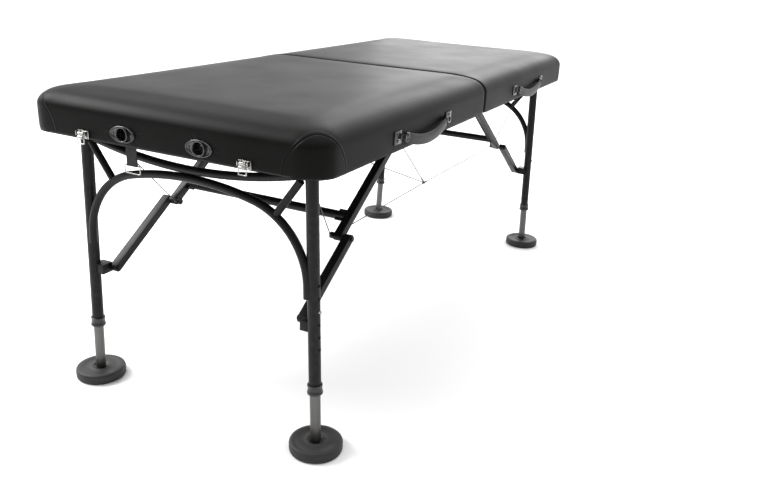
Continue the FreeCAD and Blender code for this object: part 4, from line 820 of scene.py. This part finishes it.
def stitched_finish():
    """Handle vinyl with a row of stitches beside each piped edge."""
    material, tree, shader = finish_of("handle_vinyl", (0.006, 0.006, 0.0058), 0.34,
                                       Specular_IOR_Level=0.2)
    place = add(tree, "ShaderNodeTexCoord", out=3)
    axes = add(tree, "ShaderNodeSeparateXYZ", [place]).node.outputs
    step = sums(tree, "FRACT", sums(tree, "MULTIPLY", axes[0], 270.0))
    thread = spread(tree, sums(tree, "ABSOLUTE", sums(tree, "SUBTRACT", step, 0.5)), 0.3, 0.38, 1.0, 0.0)
    # height over the arc of the grip, which drops 22 mm at its middle
    run = sums(tree, "SUBTRACT", sums(tree, "ABSOLUTE", axes[0]), 0.43)
    arc = sums(tree, "MULTIPLY", sums(tree, "POWER", sums(tree, "ABSOLUTE", run), 2.0), 1.408)
    high = sums(tree, "SUBTRACT", sums(tree, "SUBTRACT", axes[2], 0.668), arc)
    row = sums(tree, "ABSOLUTE", sums(tree, "SUBTRACT", sums(tree, "ABSOLUTE", high), 0.0078))
    stitch = sums(tree, "MULTIPLY", spread(tree, row, 0.0003, 0.0006, 1.0, 0.0), thread)
    grain = place_group(tree, PEBBLED, Scale=1300.0, Crease=0.6)
    first = add(tree, "ShaderNodeBump", {"Strength": 0.25, "Distance": 0.0004,
                                         "Height": grain["Height"]})
    second = add(tree, "ShaderNodeBump", {"Strength": 1.0, "Distance": 0.0006, "Height": stitch,
                                          "Normal": first})
    tree.links.new(second, shader.inputs["Normal"])
    tree.links.new(mixed(tree, stitch, (0.006, 0.006, 0.0058, 1), (0.02, 0.02, 0.02, 1)),
                   shader.inputs["Base Color"])
    tree.links.new(spread(tree, grain["Tone"], 0.3, 0.7, 0.3, 0.4), shader.inputs["Roughness"])
    return material


GRIP_VINYL = stitched_finish()
for half in covers:
    grip, metal = handle_pieces(half)
    # the metal ends take the darkened copy of the nickel: painted shade
    for piece, finish, slot in ((grip, GRIP_VINYL, "grip_vinyl"), (metal, SHADED_NICKEL, "nickel")):
        piece.data.materials.clear()
        piece.data.materials.append(finish)
        smooth(piece, 45)
        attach(piece, "handle_" + half)
    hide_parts("handle_" + half)
    eased("handle_plates_eased_" + half, ["handle_fittings_" + half], half + "_half", SHADED_NICKEL,
          0.5)

# Latches and keepers. Two nickel draw latches hang on the near end, with a
# wire loop on each lever, and two hooked keepers take them on the far end.
# The stamped parts are the CAD solids, rounded, with domed rivets added.
LATCH_ACROSS = 211.0
RIVET_STAND = 1.5
RIVET_PROFILE = [(0.01, -0.5), (1.9, -0.5), (1.9, 0.05), (1.65, 0.5), (1.1, 0.8), (0.01, 0.95)]


def rivets(name, end, body, spots):
    """Make domed rivets on a plate at one end of the deck."""
    one = turned("rivet", RIVET_PROFILE, 20)
    made = []
    for y, z in spots:
        place = (Matrix.Translation((end * (END_FACE + RIVET_STAND * MM), y * MM, z * MM))
                 @ Matrix.Rotation(end * math.pi / 2, 4, "Y"))
        made.append(copied(one, "rivet_one", place))
    bpy.data.objects.remove(one)
    whole = joined(name, made)
    whole.data.materials.append(NICKEL)
    smooth(whole, 45)
    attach(whole, body)


eased("latch_plates_eased", ["latch_plates"], "near_half", NICKEL, 0.45)
eased("keepers_eased", ["keepers"], "far_half", NICKEL, 0.45)
for side in ("left", "right"):
    eased("latch_lever_eased_" + side, ["latch_lever_" + side], "latch_lever_" + side, NICKEL,
          0.5, 3)
    eased("latch_loop_eased_" + side, ["latch_loop_" + side], "latch_loop_" + side, NICKEL,
          0.25)
rivets("latch_rivets", -1, "near_half", [(s * (LATCH_ACROSS + k), z) for s in (-1, 1)
                                         for k in (-9.2, 9.2) for z in (663.0, 675.2)])
rivets("keeper_rivets", 1, "far_half", [(s * LATCH_ACROSS, 674.5) for s in (-1, 1)])

# Web strap. A black woven strap hangs from the near end, doubled through a
# wire ring and sewn. It hangs free and a little curled.
STRAP_RUN = -877.2
STRAP_ACROSS = 100.0
STRAP_TOP = 667.0
STRAP_LOW = 613.0


def strap_web():
    """Make the doubled web as one band with its own thickness."""
    path = []
    for k in range(17):
        z = STRAP_TOP - 0.5 - (STRAP_TOP - STRAP_LOW - 6.0) * k / 16
        path.append((0.64 - 0.45 * math.sin(k / 16 * math.pi * 1.2), z))
    for k in range(1, 12):
        turn = math.pi * k / 12
        path.append((2.05 * math.cos(turn), STRAP_LOW - 2.05 * math.sin(turn)))
    for k in range(17):
        z = STRAP_LOW + 5.5 + (STRAP_TOP - STRAP_LOW - 6.0) * k / 16
        path.append((-0.64 - 0.45 * math.sin((16 - k) / 16 * math.pi * 1.2), z))
    bm = bmesh.new()
    columns = 13
    rows = []
    for x, z in path:
        rows.append([bm.verts.new(((STRAP_RUN + x) * MM,
                                   (STRAP_ACROSS - 14.6 + 29.2 * k / (columns - 1)) * MM, z * MM))
                     for k in range(columns)])
    for low, high in zip(rows, rows[1:]):
        for k in range(columns - 1):
            bm.faces.new((low[k], low[k + 1], high[k + 1], high[k]))
    web = finished("strap_web", bm)
    edit(web, ("normals_make_consistent", {"inside": False}))
    modify(web, "SOLIDIFY", thickness=1.1 * MM, offset=0.0)
    modify(web, "BEVEL", width=0.3 * MM, segments=2, limit_method="ANGLE", angle_limit=math.radians(50))
    return web


def web_finish():
    """Woven black webbing: a fine herringbone."""
    material, tree, shader = finish_of("woven_web", (0.011, 0.011, 0.011), 0.75)
    place = add(tree, "ShaderNodeTexCoord", out=3)
    axes = add(tree, "ShaderNodeSeparateXYZ", [place]).node.outputs
    warp = sums(tree, "SINE", sums(tree, "MULTIPLY", axes[1], 4200.0))
    slant = sums(tree, "ADD", sums(tree, "MULTIPLY", axes[2], 5200.0),
                 sums(tree, "MULTIPLY", sums(tree, "PINGPONG", axes[1], 0.004), 2600.0))
    weft = sums(tree, "SINE", slant)
    weave = sums(tree, "MULTIPLY", sums(tree, "ADD", sums(tree, "MULTIPLY", warp, weft), 1.0), 0.5)
    bump = add(tree, "ShaderNodeBump", {"Strength": 0.7, "Distance": 0.0004, "Height": weave})
    tree.links.new(bump, shader.inputs["Normal"])
    tone = mixed(tree, weave, (0.006, 0.006, 0.006, 1), (0.016, 0.016, 0.016, 1))
    tree.links.new(tone, shader.inputs["Base Color"])
    tree.links.new(spread(tree, weave, 0.0, 1.0, 0.85, 0.65), shader.inputs["Roughness"])
    return material


def wire(name, route, radius, closed=False, sides=10):
    """Make a round wire through points in mm, as a mesh."""
    curve = bpy.data.curves.new(name, "CURVE")
    curve.dimensions = "3D"
    curve.bevel_depth = radius * MM
    curve.bevel_resolution = sides // 2
    curve.use_fill_caps = not closed
    line = curve.splines.new("POLY")
    line.points.add(len(route) - 1)
    for point, place in zip(line.points, route):
        point.co = (*[c * MM for c in place], 1)
    line.use_cyclic_u = closed
    made = new_piece(name, curve)
    pick(made)
    bpy.ops.object.convert(target="MESH")
    made = bpy.context.view_layer.objects.active
    edit(made, ("remove_doubles", {"threshold": 0.00001}),
         ("normals_make_consistent", {"inside": False}))
    return made


def ring_route():
    """Return the rounded rectangle of the wire ring."""
    points = []
    for y, z, start in ((17.5, -3.5, 0), (-17.5, -3.5, 90), (-17.5, -14.5, 180), (17.5, -14.5, 270)):
        for k in range(7):
            turn = math.radians(start + 15 * k)
            points.append((STRAP_RUN, STRAP_ACROSS + y + 3.5 * math.cos(turn),
                           STRAP_LOW + z + 3.5 * math.sin(turn)))
    return points


web = strap_web()
web.data.materials.append(web_finish())
ring = wire("strap_ring", ring_route(), 1.25, closed=True)
ring.data.materials.append(NICKEL)
for piece, slot in ((web, "strap_web"), (ring, "nickel")):
    smooth(piece, 50)
    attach(piece, "hanging_strap")
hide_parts("hanging_strap")

# Stays. Thin stranded wire stays run from the leg heads to the knees and, on
# the right, from knee to knee and up to the deck through one small hub. Each
# has a swaged ferrule at both ends.
STAY_RADIUS = 1.3
HUB = (0.0, -215.0, 425.0)
STAYS = {
    "near": [((-806.5, -281.8, 678.5), (-593.93, -232.0, 433.46)),
             ((-806.5, 281.8, 678.5), (-593.93, 232.0, 433.46)),
             (HUB, (-574.53, -232.0, 433.46)), (HUB, (-790.0, -254.0, 714.3)),
             (HUB, (-19.2, 0.0, 714.3))],
    "far": [((806.5, 281.8, 678.5), (593.93, 232.0, 433.46)),
            ((806.5, -281.8, 678.5), (593.93, -232.0, 433.46)),
            ((4.2, -215.12, 425.03), (574.53, -232.0, 433.46))],
}


def stranded_finish():
    """Black coated wire rope with its lay."""
    material, tree, shader = finish_of("stranded_wire", (0.006, 0.006, 0.006), 0.45)
    place = add(tree, "ShaderNodeTexCoord", out=3)
    axes = add(tree, "ShaderNodeSeparateXYZ", [place]).node.outputs
    lay = sums(tree, "SINE", sums(tree, "MULTIPLY", sums(tree, "ADD", axes[0], sums(
        tree, "ADD", axes[2], sums(tree, "MULTIPLY", axes[1], 2.0))), 2600.0))
    marks = place_group(tree, RUBBED, Wear=0.3, Scale=40.0)
    bump = add(tree, "ShaderNodeBump", {"Strength": 0.6, "Distance": 0.0003, "Height": lay})
    tree.links.new(bump, shader.inputs["Normal"])
    tree.links.new(mixed(tree, marks["Dust"], (0.006, 0.006, 0.006, 1), (0.012, 0.012, 0.012, 1)),
                   shader.inputs["Base Color"])
    tree.links.new(spread(tree, lay, -1.0, 1.0, 0.55, 0.35), shader.inputs["Roughness"])
    return material


STAY_WIRE = stranded_finish()
FERRULE_PROFILE = [(0.01, 0.0), (1.35, 0.0), (2.1, 0.8), (2.25, 2.0), (2.25, 12.0), (1.9, 13.5),
                   (1.35, 14.0), (0.01, 14.0)]
for half, lines in STAYS.items():
    made = []
    for k, (start, end) in enumerate(lines):
        first, last = Vector(start), Vector(end)
        count = 10
        route = [first.lerp(last, n / count) for n in range(count + 1)]
        made.append(wire("stay_%s_%d" % (half, k), route, STAY_RADIUS, sides=6))
        for place, heading in ((first, last - first), (last, first - last)):
            ferrule = turned("ferrule", FERRULE_PROFILE, 16)
            turn = heading.to_track_quat("Z", "Y").to_matrix().to_4x4()
            base = place + heading.normalized() * 1.5
            ferrule.data.transform(Matrix.Translation(base * MM) @ turn)
            made.append(ferrule)
    if half == "near":
        bpy.ops.object.select_all(action="DESELECT")
        bpy.ops.mesh.primitive_uv_sphere_add(segments=24, ring_count=16, radius=4.0 * MM)
        ball = bpy.context.active_object
        ball.data.transform(Matrix.Translation(Vector(HUB) * MM))
        made.append(ball)
    whole = joined("wire_stays_" + half, made)
    whole.data.materials.clear()
    whole.data.materials.append(STAY_WIRE)
    smooth(whole, 45)
    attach(whole, half + "_half")
    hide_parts("stays_" + half)
    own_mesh(whole)

# Floor. A plain pale studio floor of matt paper, with the faintest clouds
# in its tone, wide enough to fill every view.
bpy.ops.object.select_all(action="DESELECT")
bpy.ops.mesh.primitive_grid_add(x_subdivisions=8, y_subdivisions=8, size=400.0)
floor = bpy.context.active_object
floor.name = floor.data.name = "studio_floor"
paper, tree, shader = finish_of("pale_floor", (0.86, 0.86, 0.86), 0.9, Specular_IOR_Level=0.2)
place = add(tree, "ShaderNodeTexCoord", out=3)
cloud = add(tree, "ShaderNodeTexNoise", {"Vector": place, "Scale": 0.7, "Detail": 2.0})
tree.links.new(mixed(tree, cloud, (0.85, 0.85, 0.85, 1), (0.87, 0.87, 0.87, 1)),
               shader.inputs["Base Color"])
floor.data.materials.append(paper)

# Light. A bright surround in front of the camera and overhead, dimmer behind
# it, with a soft lamp over the left side and a low one beyond the far end.
surround = bpy.data.worlds.new("surround")
bpy.context.scene.world = surround
surround.use_nodes = True
tree = surround.node_tree
tree.nodes.clear()
place = add(tree, "ShaderNodeTexCoord", out=3)
axes = add(tree, "ShaderNodeSeparateXYZ", [place]).node.outputs
ahead = sums(tree, "ADD", sums(tree, "MULTIPLY", axes[0], 0.9), sums(tree, "MULTIPLY", axes[1], 0.43))
front = spread(tree, ahead, -0.5, 0.5, 0.26, 1.5)
overhead = spread(tree, axes[2], 0.4, 0.95, 0.0, 1.2)
glow = add(tree, "ShaderNodeBackground", {"Color": (1, 1, 1, 1),
                                          "Strength": sums(tree, "ADD", front, overhead)})
exit_node = tree.nodes.new("ShaderNodeOutputWorld")
tree.links.new(glow, exit_node.inputs["Surface"])


def soft_lamp(name, place, aim, width, power):
    """Add a large square lamp that points at a place."""
    lamp = bpy.data.lights.new(name, "AREA")
    lamp.size = width
    lamp.energy = power
    made = bpy.data.objects.new(name, lamp)
    bpy.context.scene.collection.objects.link(made)
    heading = Vector(aim) - Vector(place)
    made.matrix_world = Matrix.Translation(place) @ heading.to_track_quat("-Z", "Y").to_matrix().to_4x4()
    return made


soft_lamp("key_lamp", (-1.5, 3.4, 3.4), (-0.5, 0, 0.7), 2.2, 230)
soft_lamp("far_lamp", (4.8, 1.0, 2.2), (0.5, -0.2, 0.76), 2.6, 68)
soft_lamp("fill_lamp", (-3.6, -3.0, 2.6), (0, 0, 0.4), 2.8, 5)

# Camera. It stands where the photograph's perspective puts it: to the right
# of the near end, above the deck, looking down at the table.
eye = bpy.data.cameras.new("photo_camera")
eye.sensor_width = 36.0
eye.lens = 35.289
camera = bpy.data.objects.new("photo_camera", eye)
bpy.context.scene.collection.objects.link(camera)
camera.matrix_world = (Matrix.Translation((-2.08143, -1.07674, 1.05484))
                       @ Matrix.Rotation(-1.13712, 4, "Z")
                       @ Matrix.Rotation(math.pi / 2 - 0.35925, 4, "X")
                       @ Matrix.Rotation(0.05502, 4, "Z"))
bpy.context.scene.camera = camera
bpy.context.scene.view_settings.view_transform = "Standard"
